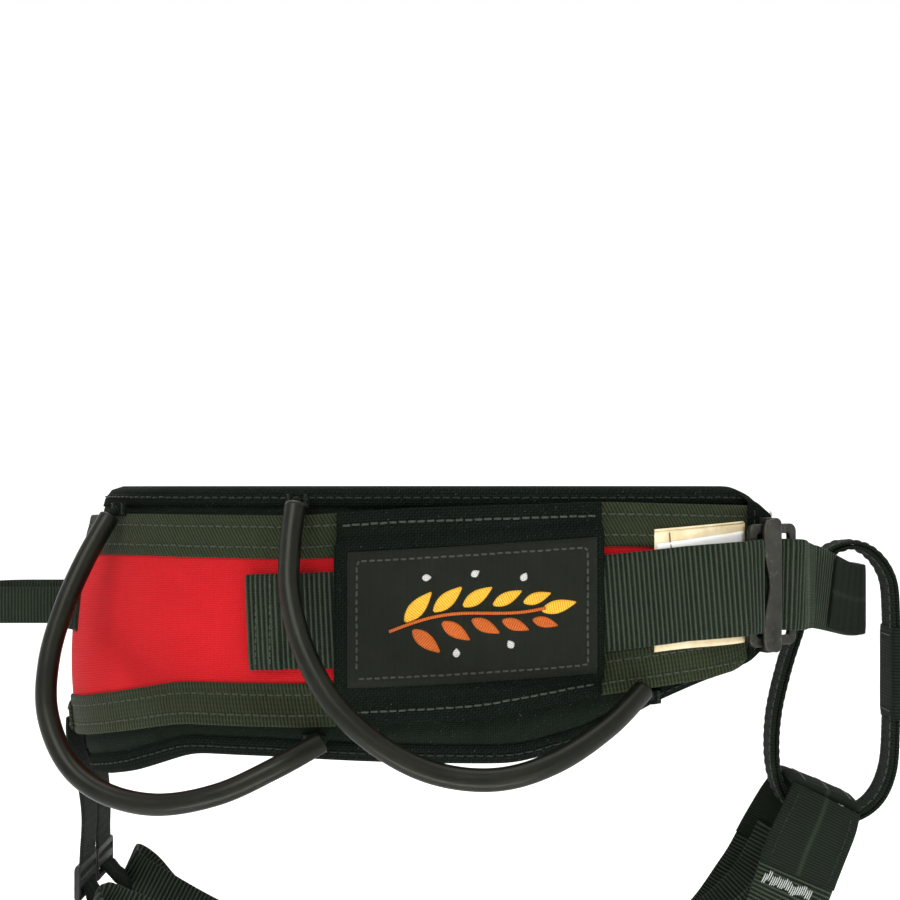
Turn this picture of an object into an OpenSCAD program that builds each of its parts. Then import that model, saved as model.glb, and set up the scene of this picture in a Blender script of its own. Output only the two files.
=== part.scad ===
// Tree climbing saddle: a padded waist belt with two buckles, four gear loops and a
// haul loop, a sewn belay loop, and two padded leg loops hung on elastic risers.
// Millimetres. +X is the wearer's front, -Y the wearer's right, +Z up. The origin is the
// centre of the waist opening, half way up the belt.

/* [Belt plan] */
// Radius of the belt's turn round the back
back_r = 80; // [74:1:86]
// Radius of the rear half of each side, where the strap's tail lies
rear_side_r = 300; // [280:5:320]
// Radius of the front half of each side
front_side_r = 260; // [240:5:280]
// Radius of the turn at each hip, before the straight run to the front
hip_r = 110; // [100:5:120]
// How far behind the origin the back of the belt is
back_x = 160; // [150:1:170]
// How far the lower back stands out behind the top edge
back_bulge = 13; // [0:1:16]

/* [Belt layers] */
// Thickness of the foam pad
pad_t = 12; // [9:1:14]
// Thickness of the woven core that carries the load
core_t = 2.8; // [2:0.2:3]
// Width of the twill tape along each edge of the core
tape_w = 17.4; // [14:0.2:19]

/* [Webbing and tube] */
// Width of the waist and leg webbing
web_w = 38; // [34:1:38]
// Thickness of the waist and leg webbing
web_t = 2.2; // [1.6:0.2:2.2]
// Outer diameter of the gear loop tube
tube_d = 8.4; // [7:0.2:8.6]

/* [Belay loop] */
// Width of the belay loop's webbing
belay_w = 16; // [14:1:20]
// Thickness of its sewn layers together
belay_t = 5.8; // [5:0.2:7.4]

/* [Leg loops] */
// Thickness of the leg padding
leg_pad_t = 8; // [6:1:9]

/* [Hidden] */

TOP = 50;             // height of the belt's top edge above the origin
GAP = 0.2;            // between layers that lie on each other
BLACK = [0.06, 0.07, 0.065];
OLIVE = [0.14, 0.16, 0.12];
RED = [0.78, 0.05, 0.06];

STEP = 11.5;          // between the belt's stations, along it

// ---- plan of the belt: arcs of [radius, turn], a straight run, then the nose --------------
ARCS = [[back_r, 65], [rear_side_r, 25], [front_side_r, 20], [hip_r, 25]];
NOSE_R = 14;

function arc_y(i = 0, a = 0) =
    i == len(ARCS) ? 0
    : -ARCS[i][0] * (sin(a + ARCS[i][1]) - sin(a)) + arc_y(i + 1, a + ARCS[i][1]);
function arc_s(i, a = 0) = a == i ? 0 : ARCS[a][0] * ARCS[a][1] * PI / 180 + arc_s(i, a + 1);

END_A = ARCS[0][1] + ARCS[1][1] + ARCS[2][1] + ARCS[3][1];
RUN = (-arc_y() - NOSE_R * sin(END_A)) / -cos(END_A);
S_ARCS = arc_s(4);
S_NOSE = S_ARCS + RUN;
S_FRONT = S_NOSE + NOSE_R * (180 - END_A) * PI / 180;

function arc_to(x, y, a, r, turn) =
    [x + r * (cos(a) - cos(a + turn)), y - r * (sin(a + turn) - sin(a)), a + turn];
function walk(s, i = 0, p = [-back_x, 0, 0]) =
    i < len(ARCS) ? let (long = ARCS[i][0] * ARCS[i][1] * PI / 180)
        s <= long ? arc_to(p[0], p[1], p[2], ARCS[i][0], s / ARCS[i][0] * 180 / PI)
        : walk(s - long, i + 1, arc_to(p[0], p[1], p[2], ARCS[i][0], ARCS[i][1]))
    : s <= RUN ? [p[0] + s * sin(p[2]), p[1] - s * cos(p[2]), p[2]]
    : arc_to(p[0] + RUN * sin(p[2]), p[1] - RUN * cos(p[2]), p[2], NOSE_R,
        (s - RUN) / NOSE_R * 180 / PI);
// [x, y, heading] at distance s from the middle of the back, to the wearer's right if positive
function plan(s) =
    s < 0 ? let (p = walk(-s)) [p[0], -p[1], -p[2]]
    : s > S_FRONT ? let (p = walk(2 * S_FRONT - s)) [p[0], -p[1], 360 - p[2]]
    : walk(s);

function ease(t) = let (u = max(0, min(1, t))) u * u * (3 - 2 * u);
// how far the surface stands out at distance s and depth z below the top edge
function bulge(s, z) = back_bulge * (1 - ease((abs(s) - 15) / 70)) * sin(max(0, -z) / 160 * 180);
// a point r outside the face where the pad meets the core, z below the belt's top edge
function on_belt(s, r, z) =
    let (p = plan(s), out = r + bulge(s, z))
    [p[0] - out * cos(p[2]), p[1] - out * sin(p[2]), TOP + z];

// ---- heights along the belt, [distance from the back, height from the belt's top edge] -----
PAD_LOW = [[0, -131], [25, -130], [60, -122], [95, -110.5], [135, -109], [235, -109],
    [262, -102], [292, -87], [316, -79], [340, -75], [352, -70]];
CORE_TOP = [[0, -13], [70, -11], [150, -11], [190, -8], [270, -5.5], [345, -7.5]];
CORE_LOW = [[0, -115], [40, -109], [95, -97], [150, -95], [220, -90], [270, -81], [312, -77],
    [345, -74]];
STRAP_MID = [[115, -54.4], [170, -51.5], [270, -45], [330, -39.5], [352, -40],
    [S_NOSE - 40, -44], [S_NOSE - 6, -52.5], [S_FRONT, -53]];
NOSE_HALF = 17;       // half width of the strap where it is gathered at the front

function pad_low(s) = lookup(abs(s), PAD_LOW);
function core_top(s) = lookup(abs(s), CORE_TOP);
function core_low(s) = lookup(abs(s), CORE_LOW);
// the same place on the right-hand half of the strap
function halved(s) = s > S_FRONT ? 2 * S_FRONT - s : s;
function strap_mid(s) = lookup(halved(s), STRAP_MID);
function strap_half(s) = lookup(halved(s),
    [[0, web_w / 2], [S_NOSE - 50, web_w / 2], [S_NOSE - 8, NOSE_HALF], [S_FRONT, NOSE_HALF]]);

TAG = [289, 330];     // the care booklet under the strap, from and to
PAD_END = 352;        // where the pad stops, along the belt from the back
CORE_END = 345;
LAP = 4;              // how far the face panel runs under each tape
BUCKLE_S = 340;       // middle of the waist buckle
SLEEVE = [165, 267];  // the sleeve over the strap, from and to
TAIL = [129, 214];    // the strap's free tail, from its tip to its end under the sleeve
STRAP_END = 234;      // where the strap itself comes out from under the sleeve, from the front
CORE_R = core_t;
FACE_R = core_t + GAP;
TAPE_R = FACE_R + 0.6 + GAP;
STRAP_R = TAPE_R + 1 + 1.2;                // inner face of the strap on the belt
SLEEVE_R = STRAP_R + web_t + 0.5;          // inner face of the sleeve over the strap

// ---- skins ------------------------------------------------------------------------------------
// A closed solid through rings of points. Each ring has the same even number of points, its
// second half running back along its first, so an end is closed by a strip across the ring.
module skin(rings, closed = false) {
    n = len(rings);
    m = len(rings[0]);
    last = closed ? n - 1 : n - 2;
    sides = [for (i = [0:last], j = [0:m - 1], half = [0, 1])
        let (a = i * m + j, b = i * m + (j + 1) % m, k = (i + 1) % n,
            c = k * m + (j + 1) % m, d = k * m + j)
        half == 0 ? [a, b, c] : [a, c, d]];
    top = (n - 1) * m;
    ends = closed ? [] : [for (j = [0:m / 2 - 2], f = [[j, m - 2 - j, j + 1], [j, m - 1 - j, m - 2 - j],
        [top + j, top + j + 1, top + m - 2 - j], [top + j, top + m - 2 - j, top + m - 1 - j]]) f];
    polyhedron(points = [for (r = rings, p = r) p], faces = concat(sides, ends), convexity = 8);
}

// distances from a to b, no more than step apart
function steps(a, b, step) = let (n = ceil(abs(b - a) / step)) [for (i = [0:n]) a + (b - a) * i / n];

// [r, z] round a flat layer between two heights, with points between for the bulge
function slab(r0, r1, z0, z1, n = 8) = concat(
    [for (i = [0:n]) [r1, z0 + (z1 - z0) * i / n]],
    [for (i = [n:-1:0]) [r0, z0 + (z1 - z0) * i / n]]);
// [r, z] round a foam pad with softened edges
function cushion(r0, r1, z0, z1, soft, n = 8) = concat(
    [for (i = [0:n]) [r1, z0 + soft + (z1 - z0 - 2 * soft) * i / n]],
    [[r1 - soft, z1], [r0 + soft, z1]],
    [for (i = [n:-1:0]) [r0, z0 + soft + (z1 - z0 - 2 * soft) * i / n]],
    [[r0 + soft, z0], [r1 - soft, z0]]);

// ---- curves through points chosen by hand -----------------------------------------------------
// a Catmull-Rom step from b to c
function spline(a, b, c, d, t) = 0.5 * (2 * b + (c - a) * t + (2 * a - 5 * b + 4 * c - d) * t * t
    + (3 * b - a - 3 * c + d) * t * t * t);
function catmull(p, i, t) =
    let (n = len(p)) spline(p[max(i - 1, 0)], p[i], p[min(i + 1, n - 1)], p[min(i + 2, n - 1)], t);
function curve(p, n) =
    concat([for (i = [0:len(p) - 2], k = [0:n - 1]) catmull(p, i, k / n)], [p[len(p) - 1]]);
function unit(v) = v / norm(v);
function tangent(p, i) = unit(p[min(i + 1, len(p) - 1)] - p[max(i - 1, 0)]);

// A round bar along a curve, its rings square to the curve
module tube(p, d, sides = 10) {
    n = len(p);
    skin([for (i = [0:n - 1])
        let (t = tangent(p, i), u = unit(cross(t, [0.35, 1, 0.1])), v = cross(u, t))
        [for (k = [0:sides - 1]) p[i] + d / 2 * (u * cos(360 * k / sides) + v * sin(360 * k / sides))]]);
}

// A flat band. Each station is [x, y, z, wx, wy, wz, half width]; off moves it along its face's normal
function band_ring(q, i, thick, off, grow) =
    let (here = q[i], t = tangent([for (s = q) [s[0], s[1], s[2]]], i),
        raw = [here[3], here[4], here[5]], w = unit(raw - t * (raw * t)), face = cross(t, w),
        half = here[6] + grow, c = [here[0], here[1], here[2]])
    [for (k = [[-1, 1], [0, 1], [1, 1], [1, -1], [0, -1], [-1, -1]])
        c + w * half * k[0] + face * (off + thick / 2 * k[1])];
module band(stations, n, thick, off = 0, grow = 0, from = 0, to = 1) {
    q = curve(stations, n);
    a = round(from * (len(q) - 1));
    b = round(to * (len(q) - 1));
    skin([for (i = [a:b]) band_ring(q, i, thick, off, grow)]);
}

// ---- both sides --------------------------------------------------------------------------------
module side(right) {
    if (right) children();
    else mirror([0, 1, 0]) children();
}
// puts its children at s along the belt, r out and z down, +X along the belt and -Y outwards
module at_belt(s, r, z) {
    p = plan(s);
    translate([p[0] - r * cos(p[2]), p[1] - r * sin(p[2]), TOP + z]) rotate([0, 0, p[2] - 90]) children();
}

// ---- waist belt --------------------------------------------------------------------------------
module waist_pad() {
    color(BLACK) skin([for (s = steps(-CORE_END, CORE_END, STEP))
        [for (q = cushion(-pad_t, -GAP, pad_low(s), 0, 3)) on_belt(s, q[0], q[1])]]);
}
module waist_core() {
    color(OLIVE) skin([for (s = steps(-CORE_END, CORE_END, STEP))
        [for (q = slab(0, CORE_R, core_low(s), core_top(s))) on_belt(s, q[0], q[1])]]);
}
module face_panel() {
    color(RED) skin([for (s = steps(-CORE_END, CORE_END, STEP))
        [for (q = slab(FACE_R, FACE_R + 0.6, core_low(s) + tape_w - LAP, core_top(s) - tape_w + LAP))
            on_belt(s, q[0], q[1])]]);
}
module tape(top) {
    color(OLIVE) skin([for (s = steps(-CORE_END, CORE_END, STEP))
        let (low = top ? core_top(s) - tape_w : core_low(s))
        [for (q = slab(TAPE_R, TAPE_R + 1, low, low + tape_w, 2)) on_belt(s, q[0], q[1])]]);
}
// the black cloth cap that closes the pad's front end
module pad_end() {
    color(BLACK) skin([for (s = [PAD_END - 6.6, PAD_END - 4, PAD_END - 1, PAD_END + 1])
        let (in = s > PAD_END ? 4 : s > PAD_END - 2 ? 1.5 : 0)
        [for (q = cushion(-pad_t + in, -GAP - in / 2, pad_low(s) + in, -in, 3, 3))
            on_belt(s, q[0], q[1])]]);
}
// the cloth sleeve that keeps the strap's tail: flat along its sewn edges, arched over the strap
module sleeve() {
    function arch(s, r) = let (lo = core_low(s), hi = core_top(s), m = strap_mid(s), h = web_w / 2)
        [[TAPE_R + 1 + GAP + r, lo], [TAPE_R + 1 + GAP + r, m - h - 12.5], [SLEEVE_R + r, m - h - 8.5],
            [SLEEVE_R + r, m + h + 8.5], [TAPE_R + 1 + GAP + r, m + h + 12.5], [TAPE_R + 1 + GAP + r, hi]];
    color(BLACK) skin([for (s = steps(SLEEVE[0], SLEEVE[1], 9))
        [for (q = concat(arch(s, 1), [for (k = [5:-1:0]) arch(s, 0)[k]])) on_belt(s, q[0], q[1])]]);
}
module patch() {
    color([0.12, 0.12, 0.12]) skin([for (s = steps(SLEEVE[0] + 5.5, SLEEVE[1] - 3, 8))
        let (mid = strap_mid(s), half = web_w / 2 + 7.3)
        [for (q = slab(SLEEVE_R + 1 + GAP, SLEEVE_R + 2, mid - half, mid + half, 2))
            on_belt(s, q[0], q[1])]]);
}
// folded care booklet, sewn on under the strap
module instruction_tag() {
    color([0.85, 0.8, 0.68]) skin([for (s = steps(TAG[0], TAG[1], 8))
        let (low = -65.5 + (s - TAG[0]) * 0.1, high = -17 + (s - TAG[0]) * 0.07)
        [for (q = slab(TAPE_R + 1 + GAP / 2, TAPE_R + 1.9, low, high, 2)) on_belt(s, q[0], q[1])]]);
}

// ---- waist strap -------------------------------------------------------------------------------
FRAME_R = 8.6;          // inner face of the buckle frame, out from the pad
FRAME_T = 2.4;
SLIDER_T = 2.2;
WRAP_T = 1;             // thickness of the webbing round the frame's rear bar
BAR_TOP = FRAME_R + FRAME_T;
OVER_BAR = BAR_TOP + 0.3 + web_t / 2;
OVER_WRAP = BAR_TOP + WRAP_T + 0.5 + web_t / 2;
UNDER = BAR_TOP - 0.3 - web_t / 2;
// what to add to r at d from the buckle's middle, because the plate is flat and the belt curved
function flat(d) = d * d / (2 * hip_r);
// middle of the strap's thickness, [distance from the buckle's middle, r]: on the belt, over the
// rear bar, under the slider, over the front bar, then down to the strap's own line
STRAP_IN = [[-38, STRAP_R + web_t / 2], [-17, OVER_WRAP + flat(17)], [-8.6, OVER_WRAP + flat(8.6)],
    [-6.8, UNDER + flat(6.8)], [6.2, UNDER + flat(6.2)], [9.2, OVER_BAR + flat(9.2)],
    [14.5, OVER_BAR + flat(14.5)], [22, OVER_BAR - 2], [36, 3.5], [48, 0]];
function strap_r(s) = lookup(halved(s) - BUCKLE_S, STRAP_IN);
WEAVE = [-30, -22, -17, -12.8, -8.6, -6.8, 0, 6.2, 9.2, 14.5, 22, 29, 36, 42, 48];
STRAP_S = concat(steps(STRAP_END, BUCKLE_S - 38, 10), [for (d = WEAVE) BUCKLE_S + d],
    steps(BUCKLE_S + 57, S_NOSE, 10), [S_NOSE + 4, S_NOSE + 8, S_FRONT]);
module waist_strap() {
    half = len(STRAP_S) - 2;
    all = concat(STRAP_S, [for (i = [half:-1:0]) 2 * S_FRONT - STRAP_S[i]]);
    color(BLACK) skin([for (s = all)
        let (r = strap_r(s), mid = strap_mid(s), half = strap_half(s))
        [for (q = slab(r - web_t / 2, r + web_t / 2, mid - half, mid + half, 1))
            on_belt(s, q[0], q[1])]]);
}
module strap_tail() {
    color(BLACK) skin([for (s = steps(TAIL[0], TAIL[1], 9))
        let (mid = strap_mid(s))
        [for (q = slab(STRAP_R, STRAP_R + web_t, mid - web_w / 2, mid + web_w / 2, 1))
            on_belt(s, q[0], q[1])]]);
}
// the wear sleeve round the nose, which the belay loop rides on
module tie_in_sleeve() {
    half = concat(steps(S_NOSE - 28, S_NOSE, 9), [S_NOSE + 4, S_NOSE + 8]);
    all = concat(half, [S_FRONT], [for (i = [len(half) - 1:-1:0]) 2 * S_FRONT - half[i]]);
    inner = web_t / 2 + GAP;
    color(BLACK) skin([for (s = all)
        let (mid = strap_mid(s), h = NOSE_HALF - 0.5)
        [for (q = slab(inner, inner + 1.6, mid - h, mid + h, 1)) on_belt(s, q[0], q[1])]]);
}

// ---- buckles: a plate with two bars, and a slider plate that hooks round its rails ------------
CHEEK = 6;              // length of the slider's cheeks, which hook under the frame's rails
WAIST_R = 86;           // radius of the slider's waisted rear edge

module rounded(x, y, r) {
    hull() for (i = [-1, 1], j = [-1, 1])
        translate([i * (x / 2 - r), j * (y / 2 - r)]) circle(r, $fn = 32);
}
// lies in XZ with its inner face at y = 0 and its outer face at y = -t
module plate(t) { rotate([90, 0, 0]) linear_extrude(t) children(); }
// long is the width along the strap, high the length of its bars, bar the width of a bar
module buckle_frame(long, high, bar, t) {
    color([0.22, 0.21, 0.19]) plate(t) difference() {
        rounded(long, high, 3.5);
        square([long - 2 * bar, high - 8], center = true);
    }
}
// x0 and x1 are the slider's rear and front edges; its rear edge is waisted for the finger
module buckle_slider(x0, x1, high, frame_t, t, rail) {
    color([0.25, 0.24, 0.22]) translate([0, -frame_t - 0.15, 0]) {
        plate(t) difference() {
            translate([(x0 + x1) / 2, 0]) rounded(x1 - x0, high + 5, 3);
            translate([x0 + 4.5 - WAIST_R, 0]) circle(WAIST_R, $fn = 96);
        }
        for (k = [-1, 1]) translate([(x0 + x1) / 2 + 1.5, 0, k * (high / 2 + 1.45)]) {
            translate([-CHEEK / 2, -0.4, -1.05]) cube([CHEEK, frame_t + 1.95, 2.1]);
            translate([-CHEEK / 2, frame_t + 0.3, k > 0 ? -rail : -1.05]) cube([CHEEK, 1.25, rail + 1.05]);
        }
    }
}
// short webbing that ties the frame's rear bar to the belt: a wrap round the bar, and a tongue
// that slopes down to the belt's tape, where its foot is sewn
module buckle_anchor(long, bar, frame_t, high, down) {
    x = -long / 2 + bar / 2;
    foot = x - bar / 2 - 10;
    color(BLACK) translate([0, 0, -high / 2]) linear_extrude(high) difference() {
        union() {
            translate([x, -frame_t / 2]) rounded(bar + 2 * WRAP_T + 0.4, frame_t + 2 * WRAP_T + 0.4, 1.6);
            polygon([[x, 0.3], [x, WRAP_T + 0.2], [foot, down], [foot, down - WRAP_T]]);
        }
        translate([x, -frame_t / 2]) rounded(bar + 0.4, frame_t + 0.4, 0.4);
    }
}
BUCKLE = [28, 50, 4];     // along the strap, along the bars, width of a bar
module at_buckle() { at_belt(BUCKLE_S, FRAME_R, strap_mid(BUCKLE_S)) children(); }
module waist_buckle_frame() { at_buckle() buckle_frame(BUCKLE[0], BUCKLE[1], BUCKLE[2], FRAME_T); }
module waist_buckle_slider() { at_buckle() buckle_slider(-9, 2.5, BUCKLE[1], FRAME_T, SLIDER_T, 3); }
module waist_buckle_anchor() { at_buckle() buckle_anchor(BUCKLE[0], BUCKLE[2], FRAME_T, 30, 5.3); }

// ---- haul loop ---------------------------------------------------------------------------------
HAUL_Z = -54;
HAUL_X = -180.3;     // axis that the loop swings about
HAUL_HALF = 22;
HAUL_RUN = [-4, -16, -28];      // stations of each straight side, from the axis
HAUL_WIDE = 17;                 // width of the loop's webbing
function haul_path() = concat([for (x = HAUL_RUN) [HAUL_X + x, -HAUL_HALF]],
    [for (a = [20:20:160]) [HAUL_X - 28 - HAUL_HALF * sin(a), -HAUL_HALF * cos(a)]],
    [for (i = [2:-1:0]) [HAUL_X + HAUL_RUN[i], HAUL_HALF]]);
module haul_loop() {
    p = haul_path();
    low = TOP + HAUL_Z - HAUL_WIDE / 2;
    high = low + HAUL_WIDE;
    color(BLACK) skin([for (i = [0:len(p) - 1])
        let (t = tangent(p, i), n = [-t[1], t[0]])
        [for (k = [[-1, low], [-1, high], [1, high], [1, low]])
            [p[i][0] + n[0] * k[0], p[i][1] + n[1] * k[0], k[1]]]]);
}
// the loop's sewn ends, folded flat on the back of the belt under one webbing tab
module haul_loop_tab() {
    color(BLACK) skin([for (s = steps(-34, 34, 6))
        [for (q = slab(TAPE_R + 0.4, TAPE_R + 2.6, HAUL_Z - 10, HAUL_Z + 10, 1)) on_belt(s, q[0], q[1])]]);
}

// ---- gear loops --------------------------------------------------------------------------------
// centre line of each right-hand tube, rear end first, z from the belt's top edge
FRONT_GEAR = [[-60.5, -102, -6.5], [-61.5, -109, -22], [-60.5, -118, -40], [-54, -127, -60],
    [-42, -134, -79], [-24, -138, -94], [-4, -139, -103], [18, -138, -105], [39, -132, -100],
    [59.5, -119, -90], [75.5, -103, -79]];
REAR_GEAR = [[-144.5, -63.5, -12], [-152.5, -71, -30], [-159, -79, -50], [-162.5, -86, -70],
    [-161, -92, -90], [-150.5, -100, -108], [-134, -107, -118], [-112, -113, -121],
    [-88, -117, -116], [-67, -114, -107], [-50, -104.5, -99]];
function lifted(p) = [for (q = p) [q[0], q[1], q[2] + TOP]];
module gear_loop(points) { color([0.07, 0.07, 0.065]) tube(curve(lifted(points), 3), tube_d, 10); }
// the cord's tabs, sewn into the belt at each end of a tube
REAR_TABS = [[149, -5], [62, -9]];          // [s, z] of the tabs on the upper tape
FRONT_TABS = [[289, -83.5], [154, -101]];   // and of those on the pad below the lower tape
module gear_loop_ends() {
    color(BLACK) {
        for (g = REAR_TABS) at_belt(g[0], TAPE_R + 1 + 2 * GAP + bulge(g[0], g[1]), g[1])
            translate([-5, -1.6, -3]) cube([10, 1.6, 6]);
        for (g = FRONT_TABS) at_belt(g[0], GAP, g[1])
            translate([-5, -2.2, -4]) cube([10, 2.2, 6]);
    }
}

// ---- belay loop --------------------------------------------------------------------------------
// middle of the loop's thickness, [x, z from the belt's top edge], from its crest over the nose
BELAY = [[191, -27], [202, -31.5], [209.5, -43], [211.3, -60], [211.3, -85], [211.3, -112],
    [209.5, -135], [202, -150], [188, -157.5], [172, -156], [160, -148], [154.6, -133],
    [154.8, -110], [160, -86], [167, -64], [172, -46], [179, -32]];
BELAY_SUB = 2;
COVER_T = 0.6;         // thickness of the cloth cover
COVER = [211.3, -88];   // its middle, on the loop's front run
COVER_LONG = 44;
function round_loop(p, i, t) =
    let (n = len(p), a = p[(i + n - 1) % n], b = p[i], c = p[(i + 1) % n], d = p[(i + 2) % n])
    spline(a, b, c, d, t);
function belay_curve() =
    [for (i = [0:len(BELAY) - 1], k = [0:BELAY_SUB - 1]) round_loop(BELAY, i, k / BELAY_SUB)];
module belay_loop() {
    c = belay_curve();
    n = len(c);
    w = belay_w / 2;
    d = belay_t / 2 - COVER_T - 0.15;
    color(BLACK) skin([for (i = [0:n - 1])
        let (t = unit(c[(i + 1) % n] - c[(i + n - 1) % n]), out = [-t[1], t[0]] * d)
        [for (k = [[-1, -w], [1, -w], [1, w], [-1, w]])
            [c[i][0] + out[0] * k[0], k[1], TOP + c[i][1] + out[1] * k[0]]]], closed = true);
}
// cloth cover over the bar-tacked overlap
module belay_loop_cover() {
    color([0.1, 0.1, 0.1]) translate([COVER[0], 0, TOP + COVER[1]]) difference() {
        cube([belay_t, belay_w + 2 * COVER_T + 0.3, COVER_LONG], center = true);
        cube([belay_t - 2 * COVER_T, belay_w + 0.3, COVER_LONG + 2], center = true);
    }
}

// ---- leg loops ---------------------------------------------------------------------------------
// Stations are [x, y, z from the belt's top edge, width direction, half width].
BRIDGE_T = 3;
BRIDGE = [for (y = [10.6, 5.5, 0, -5.5, -10.6]) [176.5, y, -143 - abs(y) * 0.1, 0.92, 0, -0.39, 17]];
// the strap: from the bridge, down round the outside of the thigh to the rear, then back along
// the inside of the thigh, to lie against the inner face of its own front end
LEG = [[175.9, -14.3, -145.2, 0.92, 0, -0.39, 17], [171.5, -17.5, -154, 0.92, 0, -0.39, 18],
    [164, -19, -170, 0.9, 0.05, -0.42, 19], [152, -25, -196, 0.85, 0.1, -0.5, 19],
    [131, -43, -233, 0.7, 0.1, -0.7, 19], [92, -79, -268, 0.35, 0.12, -0.93, 19],
    [25, -112, -290, 0.05, 0.15, -0.98, 19], [-45, -116, -286, -0.15, 0.15, -0.97, 19],
    [-106, -90, -266, -0.3, 0.1, -0.94, 19], [-146, -54, -226, -0.4, 0.05, -0.9, 17],
    [-160, -38, -199, -0.4, 0, -0.9, 14], [-162.5, -28, -192, -0.4, 0, -0.9, 13],
    [-152, -20, -198, -0.35, 0, -0.93, 13], [-100, -13, -222, -0.3, 0, -0.95, 13],
    [-30, -11, -238, -0.05, 0, -1, 13], [50, -11, -238, 0.3, 0, -0.95, 13],
    [112, -12, -222, 0.6, 0, -0.8, 13], [146, -14, -198, 0.8, 0, -0.6, 13],
    [163.4, -16.3, -170.7, 0.9, 0.05, -0.42, 13]];
LEG_SUB = 3;
function raised(p) = [for (q = p) [q[0], q[1], q[2] + TOP, q[3], q[4], q[5], q[6]]];
LEG_Q = curve(raised(LEG), LEG_SUB);
LEG_LAST = len(LEG_Q) - 1;
module leg_bridge() { color(BLACK) band(raised(BRIDGE), 1, BRIDGE_T); }
module leg_strap() { color(BLACK) band(raised(LEG), LEG_SUB, web_t); }
// part of the strap's route, by station number, for what is laid on it
module leg_layer(first, last, thick, off, grow) {
    band(raised(LEG), LEG_SUB, thick, off, grow, first * LEG_SUB / LEG_LAST, last * LEG_SUB / LEG_LAST);
}
// puts its children on the strap at ring i, off its outer face: +X along it, +Z across, -Y outwards
module on_leg(i, off) {
    t = tangent([for (s = LEG_Q) [s[0], s[1], s[2]]], i);
    raw = [LEG_Q[i][3], LEG_Q[i][4], LEG_Q[i][5]];
    w = unit(raw - t * (raw * t));
    y = cross(w, t);
    c = [LEG_Q[i][0], LEG_Q[i][1], LEG_Q[i][2]] - y * (web_t / 2 + off);
    multmatrix([[t[0], y[0], w[0], c[0]], [t[1], y[1], w[1], c[1]], [t[2], y[2], w[2], c[2]]]) children();
}
// padding inside the outer run, widest beside the thigh
PAD_WIDE = [0, 0, 0, 0, 1, 10, 15, 15, 8, 2];
PAD_FROM = 4;
PAD_TO = 9;
function leg_pad_stations(less = 0) = [for (i = [PAD_FROM:PAD_TO])
    let (q = raised(LEG)[i]) [q[0], q[1], q[2], q[3], q[4], q[5], q[6] + PAD_WIDE[i] - less]];
// the padding's section, in half widths and half thicknesses, its outer face first
PAD_SECTION = [[-1, 0.3], [-0.88, 1], [0, 1], [0.88, 1], [1, 0.3],
    [1, -0.3], [0.88, -1], [0, -1], [-0.88, -1], [-1, -0.3]];
module leg_pad() {
    q = curve(leg_pad_stations(), LEG_SUB);
    p = [for (s = q) [s[0], s[1], s[2]]];
    off = -(web_t / 2 + 1.8 + leg_pad_t / 2);
    color(BLACK) skin([for (i = [0:len(q) - 1])
        let (t = tangent(p, i), raw = [q[i][3], q[i][4], q[i][5]], w = unit(raw - t * (raw * t)))
        [for (k = PAD_SECTION)
            p[i] + w * q[i][6] * k[0] + cross(t, w) * (off + leg_pad_t / 2 * k[1])]]);
}
// cloth face between the padding and the strap
module leg_face() {
    color(RED) band(leg_pad_stations(7), LEG_SUB, 0.7, -(web_t / 2 + 0.75), 0, 0.1, 0.9);
}
LEG_FRAME_OFF = 1.3;      // from the strap's outer face to the buckle frame
LEG_BUCKLE = [26, 48, 4];
LEG_BUCKLE_RING = 13;     // the ring of the strap that carries the buckle
LEG_KEEPER_RING = 20;     // and the keeper
LEG_TAIL_HALF = 17.5;
// the part of the leg strap's free end that is woven through the buckle: over its front bar,
// under its slider and over its rear bar
module leg_weave() {
    high = -(FRAME_T + 0.3 + web_t);
    low = -(FRAME_T - 0.3);
    outer = [[-27, -web_t - 0.7], [-13.5, high], [-8.8, high], [-6.4, low], [7.2, low],
        [9.2, high], [14, high], [27, -web_t - 0.6]];
    linear_extrude(2 * LEG_TAIL_HALF, center = true)
        polygon(concat(outer, [for (i = [len(outer) - 1:-1:0]) outer[i] + [0, web_t]]));
}
// the whole free end: the weave, then back along the strap to its tip
module leg_tail() {
    color(BLACK) {
        on_leg(LEG_BUCKLE_RING, LEG_FRAME_OFF) leg_weave();
        leg_layer(4.67, 8, web_t, web_t + 0.4, LEG_TAIL_HALF - web_w / 2);
    }
}
module leg_keeper() {
    color([0.09, 0.09, 0.09]) on_leg(LEG_KEEPER_RING, 0) for (k = [0, 1]) mirror([0, 0, k]) {
        translate([-7, -5.2, 0]) cube([14, 0.9, 20.6]);
        translate([-7, -5.2, 19.8]) cube([14, 7.6, 0.8]);
    }
}
module at_leg_buckle() { on_leg(LEG_BUCKLE_RING, LEG_FRAME_OFF) children(); }
module leg_buckle_frame() {
    at_leg_buckle() buckle_frame(LEG_BUCKLE[0], LEG_BUCKLE[1], LEG_BUCKLE[2], FRAME_T);
}
module leg_buckle_slider() {
    at_leg_buckle() buckle_slider(-7, 3, LEG_BUCKLE[1], FRAME_T, SLIDER_T, 3);
}

// ---- elastic risers ----------------------------------------------------------------------------
RISER_HALF = 10.6;
RISER_LINE = [[-176.6, -10.9, -113], [-175.3, -10.9, -124], [-171.5, -10.9, -136],
    [-169.5, -10.9, -152], [-170, -12.4, -172]];
RISER = [for (q = RISER_LINE) [q[0], q[1], q[2], 0, 1, 0, RISER_HALF]];
module riser() { color([0.08, 0.09, 0.08]) band(raised(RISER), 3, 1.6); }
SLIDE = [-170.4, -13.6, -181.5];
// plastic slide that joins the riser to the leg loop
module riser_slide() {
    color([0.05, 0.05, 0.05]) translate(SLIDE + [0, 0, TOP]) rotate([0, 90, 0])
        translate([0, 0, -1.4]) linear_extrude(2.8) difference() {
            rounded(16, 26, 2.5);
            for (x = [-3.4, 3.4]) translate([x, 0]) square([2.6, 21.6], center = true);
        }
}
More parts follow.
